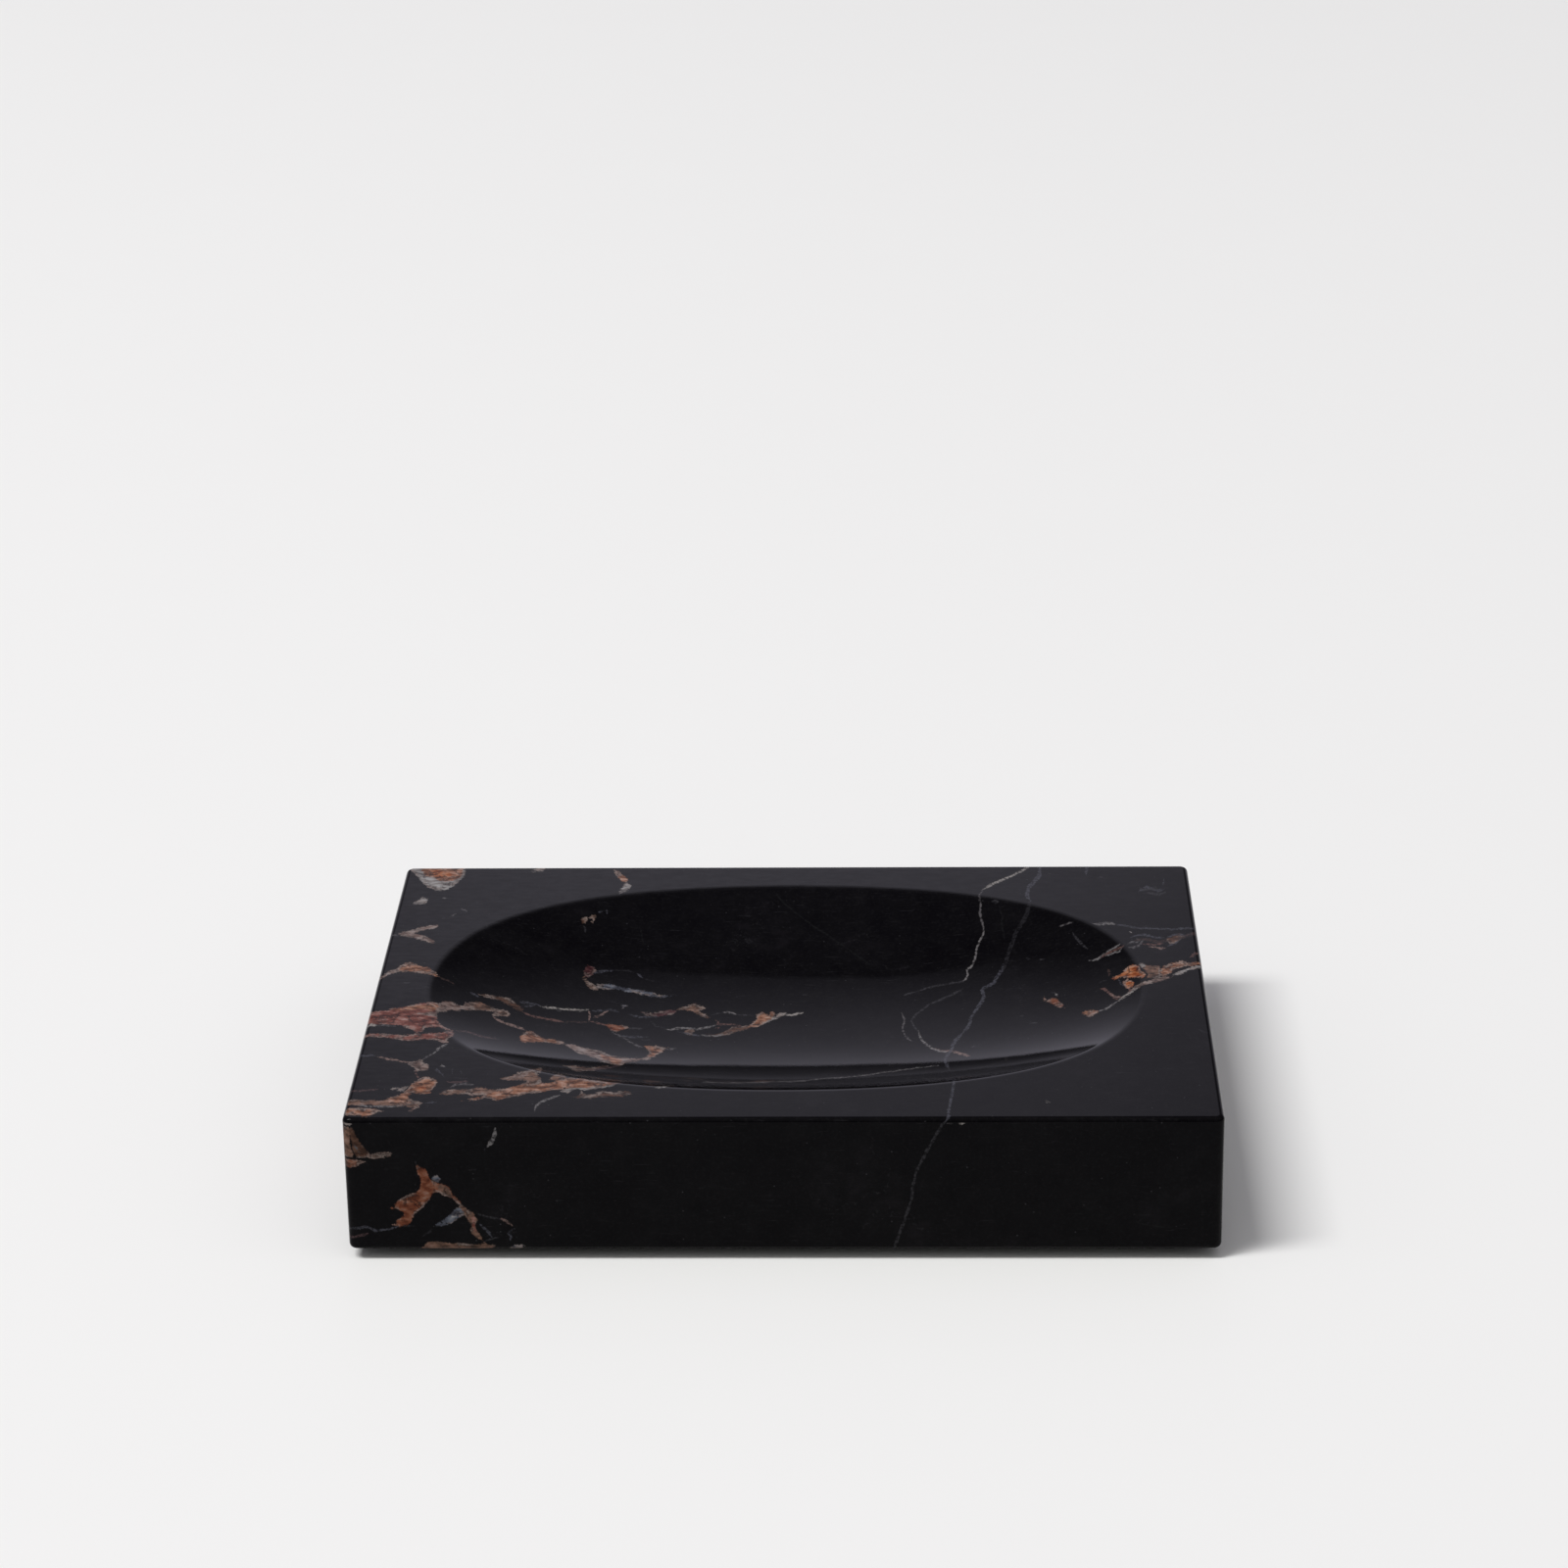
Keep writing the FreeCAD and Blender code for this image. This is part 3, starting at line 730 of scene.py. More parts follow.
def lower_rings(inner, outer, normals):
    """Rings over the block's upper edge, down its sides, round its lower edge and across the underside."""
    angles = [math.pi / 2 * step / EDGE_STEPS for step in range(EDGE_STEPS + 1)]
    for angle in angles:
        level = TOP - EDGE_RADIUS * (1 - math.cos(angle))
        yield at_height(inner + normals * EDGE_RADIUS * math.sin(angle), level)
    side_top = TOP - EDGE_RADIUS
    side_end = UNDERSIDE + EDGE_RADIUS
    for t in with_supports(SIDE_STEPS, side_top - side_end):
        yield at_height(outer, side_top + (side_end - side_top) * t)
    for angle in angles:
        level = UNDERSIDE + EDGE_RADIUS * (1 - math.sin(angle))
        yield at_height(inner + normals * EDGE_RADIUS * math.cos(angle), level)
    for t in with_supports(BASE_STEPS, HALF_WIDTH):
        yield at_height(inner * (1 - (1 - BASE_HOLE) * t), UNDERSIDE)


def stone_mesh():
    """The block's points, faces and, for each point, whether it is below the top face."""
    steps = np.arange(-BOWL_RINGS, BOWL_RINGS + 1)
    grid = np.stack(np.meshgrid(steps, steps), axis=2).reshape(-1, 2)
    ring = abs(grid).max(axis=1)
    directions = grid / np.maximum(ring, 1)[:, None]
    directions *= 1 + CORNER_CROWDING * (1 - directions**2)
    rim, rounding = rim_of(directions)
    inward = ring / BOWL_RINGS * (1 - rounding)
    place = rim * inward[:, None] + BOWL_SHIFT
    bowl = np.column_stack([place, TOP - BOWL_DEPTH * (1 - inward**BOWL_POWER)])

    index = np.arange(len(grid)).reshape(len(steps), len(steps))
    corners = [index[:-1, :-1], index[:-1, 1:], index[1:, 1:], index[1:, :-1]]
    faces = [np.stack([c.reshape(-1) for c in corners], axis=1)]
    around = np.concatenate([index[0, :-1], index[:-1, -1], index[-1, :0:-1], index[:0:-1, 0]])
    inner, normals = outline(directions[around], EDGE_RADIUS)
    outer = outline(directions[around], 0.0)[0]
    upper = list(upper_rings(bowl[around], rim[around], rounding[around], inner))
    lower = list(lower_rings(inner, outer, normals))

    previous = around
    following = len(bowl)
    for points in upper + lower:
        current = np.arange(following, following + len(points))
        faces.append(np.stack([previous, current, np.roll(current, -1), np.roll(previous, -1)], axis=1))
        previous = current
        following += len(points)
    faces = np.concatenate(faces).tolist() + [previous.tolist()]
    is_lower = np.arange(following) >= following - len(lower) * len(around)
    return np.concatenate([bowl] + upper + lower), faces, is_lower


def segment_distance(places, start, end):
    """Each place's distance to a segment, its signed side of it, how far along it is, unclipped, and the
    segment's length."""
    along = end - start
    length = np.linalg.norm(along)
    offset = places - start
    share = offset @ along / length**2
    nearest = start + np.clip(share, 0, 1)[:, None] * along
    side = (along[0] * offset[:, 1] - along[1] * offset[:, 0]) / length
    return np.linalg.norm(places - nearest, axis=1), side, share * length, length


def near_places(places, path):
    """The numbers of the places that are within reach of a path's box."""
    low = path.min(axis=0) - VEIN_REACH
    high = path.max(axis=0) + VEIN_REACH
    return np.nonzero(np.all((places > low) & (places < high), axis=1))[0]


def patch_depth(places, patches, tone):
    """How far inside the nearest patch of that tone each place is, in pixels, below zero outside."""
    depth = np.full(len(places), -VEIN_REACH)
    for patch_tone, points in patches.values():
        if patch_tone != tone:
            continue
        corners = np.array(points, float)
        near = near_places(places, corners)
        local = places[near]
        distance = np.full(len(local), VEIN_REACH)
        inside = np.zeros(len(local), bool)
        for start, end in zip(corners, np.roll(corners, -1, axis=0)):
            distance = np.minimum(distance, segment_distance(local, start, end)[0])
            crosses = (start[1] > local[:, 1]) != (end[1] > local[:, 1])
            rise = end[1] - start[1]
            if rise != 0:
                cut = start[0] + (local[:, 1] - start[1]) * (end[0] - start[0]) / rise
                inside ^= crosses & (local[:, 0] < cut)
        depth[near] = np.maximum(depth[near], np.where(inside, distance, -distance))
    return depth


def least_gap(places, path):
    """The least distance from some places to a path."""
    return min(segment_distance(places, start, end)[0].min() for start, end in zip(path[:-1], path[1:]))


def layers_of(lines):
    """The lines in layers, so that those of one layer keep clear of each other."""
    layers = []
    for tone, half_width, points in lines.values():
        path = np.array(points, float)
        for layer in layers:
            gaps = [min(least_gap(path, other), least_gap(other, path)) for _, _, other in layer]
            if min(gaps) > LAYER_GAP:
                layer.append((tone, half_width, path))
                break
        else:
            layers.append([(tone, half_width, path)])
    return layers


def line_profile(places, path, half_width):
    """Each place's distance to a line, the same with a sign for its side, and the line's half width there."""
    lengths = np.linalg.norm(np.diff(path, axis=0), axis=1)
    total = lengths.sum()
    taper = min(LINE_TAPER, total * TAPER_SHARE)
    closest = np.full(len(places), VEIN_REACH)
    signed = np.zeros(len(places))
    width = np.zeros(len(places))
    before = 0.0
    for number, (start, end) in enumerate(zip(path[:-1], path[1:])):
        distance, side, along, length = segment_distance(places, start, end)
        past = np.zeros(len(places))
        if number == 0:
            past = np.maximum(past, -along)
        if number == len(lengths) - 1:
            past = np.maximum(past, along - length)
        travelled = before + np.clip(along, 0, length)
        to_end = np.minimum(travelled, total - travelled)
        narrowing = LINE_END_SHARE + (1 - LINE_END_SHARE) * smooth(to_end, 0, taper)
        here = half_width * narrowing - past - np.maximum(distance - LINE_REACH, 0)
        better = distance < closest
        closest = np.where(better, distance, closest)
        signed = np.where(better, np.where(past > 0, side, np.copysign(distance, side)), signed)
        width = np.where(better, here, width)
        before += length
    return closest, signed, width


def line_layer(places, layer):
    """For each place its signed distance to the layer's nearest line, that line's half width and tone."""
    result = np.zeros((len(places), 3))
    result[:, 0] = VEIN_REACH
    result[:, 1] = -VEIN_REACH
    best = np.full(len(places), VEIN_REACH)
    for tone, half_width, path in layer:
        near = near_places(places, path)
        closest, signed, width = line_profile(places[near], path, half_width)
        chosen = closest < best[near]
        rows = near[chosen]
        best[rows] = closest[chosen]
        result[rows, 0] = signed[chosen]
        result[rows, 1] = width[chosen]
        result[rows, 2] = list(LINE_TONES).index(tone) / (len(LINE_TONES) - 1)
    return result


def vein_places(points, lower):
    """Where each point looks up the top's veins and the front's, in the photograph, and the front's share."""
    depth = np.where(lower, TOP - points[:, 2], 0.0)
    x = points[:, 0] * (1 - DIP_INWARD * depth / HALF_LENGTH) + DIP_ALONG[0] * depth
    y = points[:, 1] * (1 - DIP_INWARD * depth / HALF_WIDTH) + DIP_ALONG[1] * depth
    z = np.where(lower, top_height(x, y), points[:, 2])
    on_top = photo_pixels(np.column_stack([x, y, z]))

    behind = points[:, 1] + HALF_WIDTH
    under = lower & (points[:, 2] < UNDERSIDE + SUPPORT)
    front_x = points[:, 0] * (1 - np.clip(behind, 0, FRONT_WRAP) / HALF_LENGTH)
    front_z = points[:, 2] + np.where(under, behind, 0.0)
    front = np.column_stack([front_x, np.full(len(points), -HALF_WIDTH), front_z])
    on_front = photo_pixels(front)
    share = smooth(depth, 0, EDGE_RADIUS) * (1 - smooth(behind, EDGE_RADIUS, FRONT_WRAP))
    return on_top, on_front, share


def add_attribute(mesh, name, kind, field, values):
    attribute = mesh.attributes.new(name, kind, "POINT")
    attribute.data.foreach_set(field, values.astype(np.float32).reshape(-1))


def add_veins(mesh, points, lower):
    """Keeps each point's distances to the veins on the mesh, and returns the names of the lines' layers."""
    on_top, on_front, share = vein_places(points, lower)
    for tone in PATCH_TONES:
        top = patch_depth(on_top, TOP_PATCHES, tone)
        front = patch_depth(on_front, FRONT_PATCHES, tone)
        add_attribute(mesh, f"patch_{tone}", "FLOAT", "value", top * (1 - share) + front * share)

    share = share[:, None]
    names = []
    layers = zip_longest(layers_of(TOP_LINES), layers_of(FRONT_LINES), fillvalue=[])
    for number, (top_layer, front_layer) in enumerate(layers):
        top = line_layer(on_top, top_layer)
        front = line_layer(on_front, front_layer)
        names.append(f"line_{number}")
        add_attribute(mesh, names[-1], "FLOAT_VECTOR", "vector", top * (1 - share) + front * share)
    return names


# A face whose points are all within this depth of the top belongs to the flat border.
FLAT_DEPTH = 0.01
# The flat border shines more than the bowl and the sides do.
STONE_SHINE = 0.05
BORDER_SHINE = 0.064


def make_stone():
    points, faces, lower = stone_mesh()
    mesh = bpy.data.meshes.new("marble_block")
    mesh.from_pydata((points * MM).tolist(), [], faces)
    mesh.polygons.foreach_set("use_smooth", np.ones(len(faces), bool))
    mesh.update()
    line_names = add_veins(mesh, points, lower)
    mesh.materials.append(marble("black_marble", line_names, STONE_SHINE))
    mesh.materials.append(marble("black_marble_border", line_names, BORDER_SHINE))
    is_flat = points[:, 2] > TOP - FLAT_DEPTH
    mesh.polygons.foreach_set("material_index", [int(is_flat[face].all()) for face in faces])
    stone = bpy.data.objects.new("marble_block", mesh)
    bpy.context.scene.collection.objects.link(stone)
    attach(stone, "root")
    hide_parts("stone_block")


def linear(colour):
    """A colour given as 0 to 255 the way a picture stores it, as the shader's own numbers."""
    shares = [c / 255 for c in colour]
    return [s / 12.92 if s <= 0.04045 else ((s + 0.055) / 1.055) ** 2.4 for s in shares] + [1.0]


class Nodes:
    """A node tree with short ways to add nodes and join them."""

    def __init__(self, tree):
        self.tree = tree
        tree.nodes.clear()

    def add(self, kind, inputs=None, **settings):
        made = self.tree.nodes.new(kind)
        for name, value in settings.items():
            setattr(made, name, value)
        for socket, value in (inputs or {}).items():
            self.put(made.inputs[socket], value)
        return made

    def put(self, socket, value):
        if isinstance(value, bpy.types.NodeSocket):
            self.tree.links.new(value, socket)
        else:
            socket.default_value = value

    def math(self, operation, first, second=0.0):
        return self.add("ShaderNodeMath", {0: first, 1: second}, operation=operation).outputs[0]

    def product(self, *factors):
        result = factors[0]
        for factor in factors[1:]:
            result = self.math("MULTIPLY", result, factor)
        return result

    def vector(self, operation, first, second):
        return self.add("ShaderNodeVectorMath", {0: first, 1: second}, operation=operation).outputs[0]

    def noise(self, place, scale, detail, roughness):
        inputs = {"Vector": place, "Scale": scale, "Detail": detail, "Roughness": roughness}
        return self.add("ShaderNodeTexNoise", inputs)

    def cell_edges(self, place, scale):
        """The distance to the edges between irregular cells."""
        inputs = {"Vector": place, "Scale": scale}
        return self.add("ShaderNodeTexVoronoi", inputs, feature="DISTANCE_TO_EDGE").outputs["Distance"]

    def step(self, value, low, high, start=0.0, end=1.0):
        inputs = {0: value, 1: low, 2: high, 3: start, 4: end}
        return self.add("ShaderNodeMapRange", inputs, interpolation_type="SMOOTHSTEP").outputs[0]

    def mix(self, factor, first, second):
        made = self.add("ShaderNodeMix", {0: factor, 6: first, 7: second}, data_type="RGBA")
        return made.outputs[2]

    def ramp(self, factor, stops):
        made = self.add("ShaderNodeValToRGB", {0: factor})
        elements = made.color_ramp.elements
        while len(elements) < len(stops):
            elements.new(1.0)
        for element, (position, colour) in zip(elements, stops):
            element.position = position
            element.color = linear(colour)
        return made.outputs[0]

    def attribute(self, name):
        return self.add("ShaderNodeAttribute", attribute_name=name)

    def surface(self, inputs):
        """A surface with these inputs, joined to the material's output."""
        shader = self.add("ShaderNodeBsdfPrincipled", inputs)
        self.add("ShaderNodeOutputMaterial", {"Surface": shader.outputs[0]})


def new_material(name):
    material = bpy.data.materials.new(name)
    material.use_nodes = True
    return material, Nodes(material.node_tree)


def millimetres(nodes):
    """The piece's own place in millimetres."""
    place = nodes.add("ShaderNodeTexCoord").outputs["Object"]
    return nodes.vector("MULTIPLY", place, (1 / MM, 1 / MM, 1 / MM))


def centred(nodes, level, spread):
    """A noise's level, which is about a half, as a number about zero, as far either way as spread."""
    return nodes.math("MULTIPLY", nodes.math("SUBTRACT", level, 0.5), 2 * spread)


def bent(nodes, place, noise, reach):
    """Places pushed about by a noise's colour, as far as reach."""
    return nodes.vector("ADD", place, nodes.vector("MULTIPLY", noise.outputs[1], (reach, reach, reach)))


# The marble's noises: scale in a millimetre, detail and roughness.
NOISES = {
    "broad": (0.055, 4.0, 0.6),
    "middle": (0.35, 3.0, 0.6),
    "fine": (1.7, 3.0, 0.6),
    "grain": (6.0, 2.0, 0.6),
    "coarse_wobble": (0.6, 2.0, 0.5),
    "fine_wobble": (2.6, 3.0, 0.65),
    "wave": (0.22, 1.0, 0.5),
    "streak": (1.0, 2.5, 0.5),
    "clouding": (0.9, 4.0, 0.7),
    "scratch": (1.0, 3.0, 0.7),
}
# What places are multiplied by for a noise that is drawn out along the block.
NOISE_SQUEEZE = {
    "streak": (0.55, 1.0, 1.0),
    "clouding": (0.4, 1.2, 1.2),
    "scratch": (0.2, 2.2, 2.2),
}
# The noises that choose among a patch's four colours, and where along their sum the colours lie.
TINT_SHARES = {"streak": 0.75, "fine": 0.18, "grain": 0.07}
STREAK_PLACES = (0.34, 0.46, 0.54, 0.66)
# Among the marble's values below, each group of two or four numbers is a step: a value between the
# first two gives a result between the last two, or between 0 and 1.
# The black stone, with a painted sheen: the flat border is painted lighter towards the back and the left,
# where it reflects more light.
GROUND_COLOURS = [(0.12, (4, 3, 5)), (0.32, (9, 8, 10)), (0.52, (18, 16, 19))]
PAINTED_SHEEN_COLOUR = (34, 33, 36)
PAINTED_SHEEN_LEAN = (-1.2, 1.2, 0.0, 0.37)
PAINTED_SHEEN_DEPTH = 0.3
PAINTED_SHEEN_CLOUDING = (0.35, 0.65, 0.45, 1.55)
# Mottling, scratches, hairlines and specks of the stone itself, all over and faint.
MOTTLE_COLOUR = (31, 30, 32)
MOTTLE_LEVELS = (0.48, 0.76, 0.0, 0.22)
SCRATCH_COLOUR = (44, 43, 46)
SCRATCH_LEVELS = (0.6, 0.78, 0.0, 0.4)
HAIR_COLOUR = (48, 47, 50)
HAIR_CELLS = 0.085
HAIR_BEND = 5.0
HAIR_WIDTH = (0.003, 0.013, 1.0, 0.0)
HAIR_AREAS = (0.5, 0.66)
HAIR_STRETCHES = (0.45, 0.65)
HAIR_STRENGTH = 0.3
SPECK_COLOUR = (58, 57, 60)
SPECK_CELLS = 0.75
SPECK_SIZE = (0.05, 0.13, 1.0, 0.0)
SPECK_CHANCE = (0.76, 1.0)
SPECK_STRENGTH = 0.7
# How far, in pixels, the veins' edges wander.
COARSE_WOBBLE = 2.0
FINE_WOBBLE = 2.2
# How far, in pixels, a patch's edge lies inside its outline, and how soft the edge is.
PATCH_SETBACK = 0.6
PATCH_EDGE = (-0.8, 0.8)
# Pale fringes on some stretches of the patches' edges, and dark cracks across the patches.
FRINGE_COLOUR = (122, 110, 105)
FRINGE_DEPTH = 0.7
FRINGE_WIDTH = (0.2, 1.5, 1.0, 0.0)
FRINGE_AREAS = (0.44, 0.6)
FRINGE_STRENGTH = 0.8
CRACK_COLOUR = (30, 20, 18)
CRACK_CELLS = 0.45
CRACK_BEND = 1.6
CRACK_WIDTH = (0.02, 0.12, 1.0, 0.0)
CRACK_DEPTH = (-0.5, 1.0)
CRACK_AREAS = (0.4, 0.55)
CRACK_STRENGTH = 0.75
# How much of the wobble a line has, how soft its edge is, and where it is broken up.
LINE_WOBBLE_SHARE = 0.55
LINE_EDGE = (-0.6, 0.6)
LINE_GRAIN = 0.15
LINE_BREAKS = (0.4, 0.57, 0.2, 1.0)
# The polish, which is a little duller on the veins, and the surface's faint waves and relief.
# The grain raises the relief and the veins lower it, each by the same share.
POLISH = (0.3, 0.75, 0.012, 0.03)
VEIN_DULLNESS = 0.06
WAVE_HEIGHT = 0.01 * MM
RELIEF_HEIGHT = 0.05 * MM
RELIEF_STRENGTH = 0.08
RELIEF_SHARE = 0.5


def marble_noises(nodes, place):
    noises = {}
    for name, numbers in NOISES.items():
        where = place
        if name in NOISE_SQUEEZE:
            where = nodes.vector("MULTIPLY", place, NOISE_SQUEEZE[name])
        noises[name] = nodes.noise(where, *numbers)
    return noises


def ground_colour(nodes, place, noises, level):
    """The stone without its veins, with a painted sheen on its flat border."""
    clouds = nodes.math("MULTIPLY", level["broad"], level["middle"])
    colour = nodes.ramp(clouds, GROUND_COLOURS)

    x, y, z = nodes.add("ShaderNodeSeparateXYZ", {0: place}).outputs
    backwards = nodes.math("DIVIDE", y, HALF_WIDTH)
    lean = nodes.math("SUBTRACT", backwards, nodes.math("DIVIDE", x, HALF_LENGTH))
    # Painted sheen: the flat border's colour is lightened towards the back and the left, standing in for
    # reflected light.
    painted_sheen = nodes.product(
        nodes.step(lean, *PAINTED_SHEEN_LEAN),
        nodes.step(z, TOP - PAINTED_SHEEN_DEPTH, TOP),
        nodes.step(level["clouding"], *PAINTED_SHEEN_CLOUDING),
    )
    colour = nodes.mix(painted_sheen, colour, linear(PAINTED_SHEEN_COLOUR))
    colour = nodes.mix(nodes.step(level["fine"], *MOTTLE_LEVELS), colour, linear(MOTTLE_COLOUR))
    colour = nodes.mix(nodes.step(level["scratch"], *SCRATCH_LEVELS), colour, linear(SCRATCH_COLOUR))

    cells = nodes.cell_edges(bent(nodes, place, noises["middle"], HAIR_BEND), HAIR_CELLS)
    hair = nodes.product(
        nodes.step(cells, *HAIR_WIDTH),
        nodes.step(level["broad"], *HAIR_AREAS),
        nodes.step(level["fine"], *HAIR_STRETCHES),
        HAIR_STRENGTH,
    )
    colour = nodes.mix(hair, colour, linear(HAIR_COLOUR))

    dots = nodes.add("ShaderNodeTexVoronoi", {"Vector": place, "Scale": SPECK_CELLS}, feature="F1")
    chance = nodes.add("ShaderNodeSeparateColor", {0: dots.outputs["Color"]}).outputs[0]
    near_dot = nodes.step(dots.outputs["Distance"], *SPECK_SIZE)
    speck = nodes.product(near_dot, nodes.step(chance, *SPECK_CHANCE), SPECK_STRENGTH)
    return nodes.mix(speck, colour, linear(SPECK_COLOUR))


def add_patches(nodes, colour, place, noises, level, wobble):
    """The colour with the patches on it, and the share of each place that is patch."""
    tint = 0.0
    for name, share in TINT_SHARES.items():
        tint = nodes.math("ADD", tint, nodes.math("MULTIPLY", level[name], share))
    deepest = -VEIN_REACH
    for tone, shades in PATCH_TONES.items():
        stored = nodes.attribute(f"patch_{tone}").outputs["Fac"]
        depth = nodes.math("ADD", nodes.math("SUBTRACT", stored, PATCH_SETBACK), wobble)
        deepest = nodes.math("MAXIMUM", deepest, depth)
        paint = nodes.ramp(tint, list(zip(STREAK_PLACES, shades)))
        colour = nodes.mix(nodes.step(depth, *PATCH_EDGE), colour, paint)

    from_edge = nodes.math("ABSOLUTE", nodes.math("SUBTRACT", deepest, FRINGE_DEPTH))
    fringe = nodes.product(
        nodes.step(from_edge, *FRINGE_WIDTH),
        nodes.step(level["middle"], *FRINGE_AREAS),
        FRINGE_STRENGTH,
    )
    colour = nodes.mix(fringe, colour, linear(FRINGE_COLOUR))
    cells = nodes.cell_edges(bent(nodes, place, noises["fine"], CRACK_BEND), CRACK_CELLS)
    crack = nodes.product(
        nodes.step(cells, *CRACK_WIDTH),
        nodes.step(deepest, *CRACK_DEPTH),
        nodes.step(level["middle"], *CRACK_AREAS),
        CRACK_STRENGTH,
    )
    return nodes.mix(crack, colour, linear(CRACK_COLOUR)), nodes.step(deepest, *PATCH_EDGE)


def add_lines(nodes, colour, veins, line_names, level, wobble):
    """The colour with the lines on it, and the share of each place that is patch or line."""
    stops = [(n / (len(LINE_TONES) - 1), tone) for n, tone in enumerate(LINE_TONES.values())]
    line_wobble = nodes.math("MULTIPLY", wobble, LINE_WOBBLE_SHARE)
    swelling = nodes.math("ADD", level["middle"], level["fine"])
    crumbs = nodes.math("ADD", level["fine"], centred(nodes, level["grain"], LINE_GRAIN))
    solid = nodes.step(crumbs, *LINE_BREAKS)
    for name in line_names:
        stored = nodes.attribute(name).outputs["Vector"]
        side, half_width, tone = nodes.add("ShaderNodeSeparateXYZ", {0: stored}).outputs
        offset = nodes.math("ABSOLUTE", nodes.math("ADD", side, line_wobble))
        width = nodes.math("MULTIPLY", half_width, swelling)
        mask = nodes.product(nodes.step(nodes.math("SUBTRACT", width, offset), *LINE_EDGE), solid)
        colour = nodes.mix(mask, colour, nodes.ramp(tone, stops))
        veins = nodes.math("MAXIMUM", veins, mask)
    return colour, veins


def marble(name, line_names, shine):
    material, nodes = new_material(name)
    place = millimetres(nodes)
    noises = marble_noises(nodes, place)
    level = {key: noise.outputs[0] for key, noise in noises.items()}
    coarse = centred(nodes, level["coarse_wobble"], COARSE_WOBBLE)
    wobble = nodes.math("ADD", coarse, centred(nodes, level["fine_wobble"], FINE_WOBBLE))
    colour = ground_colour(nodes, place, noises, level)
    colour, veins = add_patches(nodes, colour, place, noises, level, wobble)
    colour, veins = add_lines(nodes, colour, veins, line_names, level, wobble)

    dullness = nodes.math("MULTIPLY", veins, VEIN_DULLNESS)
    waves = nodes.add("ShaderNodeBump", {"Height": level["wave"], "Strength": 1.0, "Distance": WAVE_HEIGHT})
    raised = nodes.math("MULTIPLY", level["grain"], RELIEF_SHARE)
    relief = nodes.add("ShaderNodeBump", {
        "Height": nodes.math("ADD", raised, nodes.math("MULTIPLY", veins, -RELIEF_SHARE)),
        "Strength": RELIEF_STRENGTH,
        "Distance": RELIEF_HEIGHT,
        "Normal": waves.outputs[0],
    })
    nodes.surface({
        "Base Color": colour,
        "Roughness": nodes.math("ADD", nodes.step(level["fine"], *POLISH), dullness),
        "Specular IOR Level": shine,
        "Normal": relief.outputs[0],
    })
    return material


# The feet: a soft black with a fine mottled grain, which is lighter and duller or shinier in places.
CUSHION_COLOUR = (24, 24, 25)
CUSHION_ROUGHNESS = 0.7
ADHESIVE_COLOUR = (34, 34, 33)
ADHESIVE_ROUGHNESS = 0.5
SOFT_GRAIN = (3.0, 4.0, 0.6)
SOFT_GRAIN_PLACES = (0.35, 0.7)
SOFT_LIGHTER_TIMES = 1.6
SOFT_LIGHTER_BY = 4
SOFT_POLISH_LEVELS = (0.3, 0.7)
SOFT_POLISH_SPREAD = 0.08
SOFT_BUMP_STRENGTH = 0.3
SOFT_BUMP_HEIGHT = 0.04 * MM
SOFT_SHINE = 0.35


def soft_black(name, colour, rough):
    """A black rubber or adhesive."""
    material, nodes = new_material(name)
    grain = nodes.noise(millimetres(nodes), *SOFT_GRAIN).outputs[0]
    lighter = [round(c * SOFT_LIGHTER_TIMES) + SOFT_LIGHTER_BY for c in colour]
    bump = nodes.add("ShaderNodeBump", {
        "Height": grain,
        "Strength": SOFT_BUMP_STRENGTH,
        "Distance": SOFT_BUMP_HEIGHT,
    })
    polish = (rough - SOFT_POLISH_SPREAD, rough + SOFT_POLISH_SPREAD)
    nodes.surface({
        "Base Color": nodes.ramp(grain, list(zip(SOFT_GRAIN_PLACES, (colour, lighter)))),
        "Roughness": nodes.step(grain, *SOFT_POLISH_LEVELS, *polish),
        "Specular IOR Level": SOFT_SHINE,
        "Normal": bump.outputs[0],
    })
    return material


def dress_feet():
    finishes = {
        "foot_": soft_black("cushion_rubber", CUSHION_COLOUR, CUSHION_ROUGHNESS),
        "adhesive_": soft_black("adhesive_film", ADHESIVE_COLOUR, ADHESIVE_ROUGHNESS),
    }
    for name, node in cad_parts.items():
        for start, material in finishes.items():
            if name.startswith(start):
                node.data.materials.clear()
                node.data.materials.append(material)


# The floor, in metres, with a grain between its colour and one a little darker.
FLOOR_REACH = 30.0
FLOOR_COLOUR = (0.858, 0.855, 0.842)
FLOOR_DARKER = 0.994
FLOOR_GRAIN = (40.0, 3.0, 0.5)
FLOOR_ROUGHNESS = 0.9


def make_floor():
    mesh = bpy.data.meshes.new("floor")
    r = FLOOR_REACH
    mesh.from_pydata([(-r, -r, 0), (r, -r, 0), (r, r, 0), (-r, r, 0)], [], [(0, 1, 2, 3)])
    floor = bpy.data.objects.new("floor", mesh)
    bpy.context.scene.collection.objects.link(floor)
    material, nodes = new_material("pale_floor")
    place = nodes.add("ShaderNodeTexCoord").outputs["Object"]
    grain = nodes.noise(place, *FLOOR_GRAIN).outputs[0]
    darker = [c * FLOOR_DARKER for c in FLOOR_COLOUR]
    nodes.surface({
        "Base Color": nodes.mix(grain, [*FLOOR_COLOUR, 1.0], [*darker, 1.0]),
        "Roughness": FLOOR_ROUGHNESS,
        "Specular IOR Level": 0.0,
    })
    mesh.materials.append(material)


# A long soft box hangs high on the left, a little towards the camera. Its sizes are in metres.
KEY_DIRECTION = (-0.48, -0.23, 1.0)
KEY_DISTANCE = 6.0
KEY_SIZE = (2.75, 1.15)
KEY_RADIANCE = 26.8


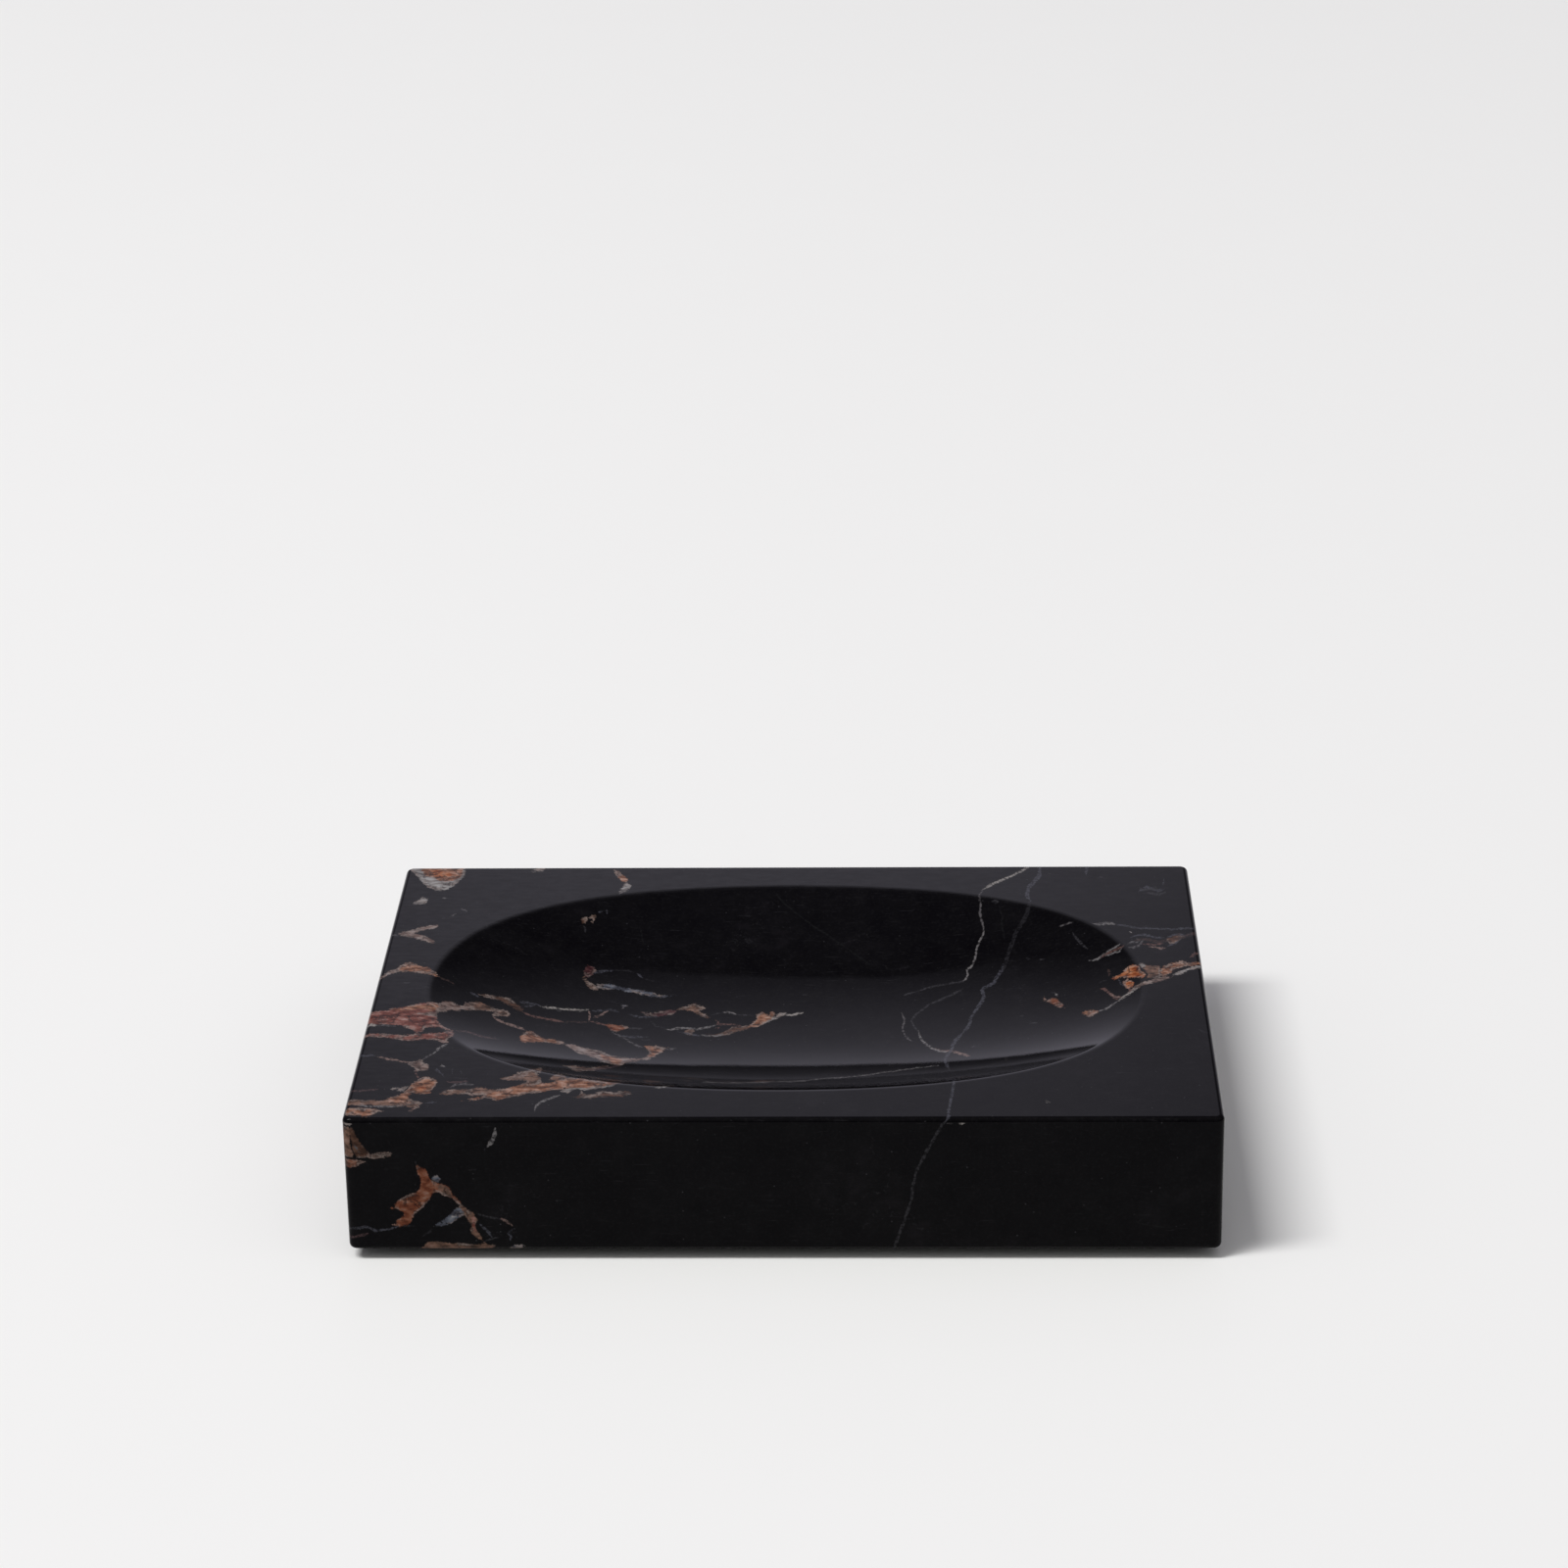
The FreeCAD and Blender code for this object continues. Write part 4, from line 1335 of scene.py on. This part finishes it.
def make_lamp():
    direction = np.array(KEY_DIRECTION) / np.linalg.norm(KEY_DIRECTION)
    data = bpy.data.lights.new("key", "AREA")
    data.shape = "RECTANGLE"
    data.size = KEY_SIZE[0]
    data.size_y = KEY_SIZE[1]
    data.energy = KEY_RADIANCE * math.pi * KEY_SIZE[0] * KEY_SIZE[1]
    lamp = bpy.data.objects.new("key", data)
    across = np.cross((0.0, 1.0, 0.0), direction)
    across /= np.linalg.norm(across)
    up = np.cross(direction, across)
    turn = np.stack([across, up, direction], axis=1)
    lamp.matrix_world = Matrix.Translation(direction * KEY_DISTANCE) @ Matrix(turn.tolist()).to_4x4()
    bpy.context.scene.collection.objects.link(lamp)


# The room: in front it is brighter higher up. Behind the dish a pale screen ends below a dim ceiling,
# with some light low down on both sides of the screen.
FRONT_RISE = 0.75
FRONT_TINT = (1.0, 1.0, 0.99, 1.0)
BACK_LIGHT = 0.1
BACK_TINT = (0.98, 0.945, 1.11, 1.0)
BACK_EDGE = (-0.1, 0.3)
SCREEN_LIGHT = 0.62
SCREEN_SHIFT = 0.045
SCREEN_EDGE = (0.02, 0.3)
SCREEN_FADE = (0.669, 0.735)
SCREEN_TOP_SHARE = 0.8
SIDE_LIGHT = 0.5
SIDE_EDGE = (0.2, 0.4)
SIDE_HEIGHT = (0.12, 0.32)
CEILING_LIGHT = 0.16
CEILING_EDGE = (0.735, 0.757)
CEILING_FALL = 0.28
CEILING_START = 0.77
CEILING_RISE = 1.2
# Stands in for the depth of a direction that runs along the screen or away from it.
LEAST_DEPTH = 0.05


def make_world():
    world = bpy.data.worlds.new("room")
    world.use_nodes = True
    nodes = Nodes(world.node_tree)
    direction = nodes.add("ShaderNodeTexCoord").outputs["Generated"]
    x, y, z = nodes.add("ShaderNodeSeparateXYZ", {0: direction}).outputs
    back = nodes.step(y, *BACK_EDGE)
    sideways = nodes.math("DIVIDE", x, nodes.math("MAXIMUM", y, LEAST_DEPTH))
    aside = nodes.math("ABSOLUTE", sideways)
    from_middle = nodes.math("ABSOLUTE", nodes.math("ADD", sideways, SCREEN_SHIFT))
    level = nodes.math("ADD", z, nodes.math("MULTIPLY", aside, CEILING_FALL))
    fade = nodes.step(level, *SCREEN_FADE, 1.0, SCREEN_TOP_SHARE)
    screen = nodes.math("MULTIPLY", nodes.step(from_middle, *SCREEN_EDGE, SCREEN_LIGHT, 0.0), fade)
    low = nodes.step(z, *SIDE_HEIGHT, SIDE_LIGHT, 0.0)
    side = nodes.math("MULTIPLY", nodes.step(aside, *SIDE_EDGE), low)
    wall = nodes.math("ADD", nodes.math("ADD", screen, side), BACK_LIGHT)
    height = nodes.math("MAXIMUM", nodes.math("SUBTRACT", z, CEILING_START), 0.0)
    ceiling = nodes.math("ADD", nodes.math("MULTIPLY", height, CEILING_RISE), CEILING_LIGHT)
    above = nodes.step(level, *CEILING_EDGE)
    below = nodes.math("SUBTRACT", 1.0, above)
    behind = nodes.math("ADD", nodes.math("MULTIPLY", wall, below), nodes.math("MULTIPLY", ceiling, above))
    front = nodes.math("MULTIPLY", nodes.math("MAXIMUM", z, 0.0), FRONT_RISE)
    ahead = nodes.math("MULTIPLY", nodes.math("SUBTRACT", 1.0, back), front)
    strength = nodes.math("ADD", nodes.math("MULTIPLY", behind, back), ahead)
    tint = nodes.mix(back, FRONT_TINT, BACK_TINT)
    shader = nodes.add("ShaderNodeBackground", {"Color": tint, "Strength": strength})
    nodes.add("ShaderNodeOutputWorld", {"Surface": shader.outputs[0]})
    bpy.context.scene.world = world


make_camera()
make_stone()
dress_feet()
make_floor()
make_lamp()
make_world()
bpy.context.scene.view_settings.view_transform = "Standard"
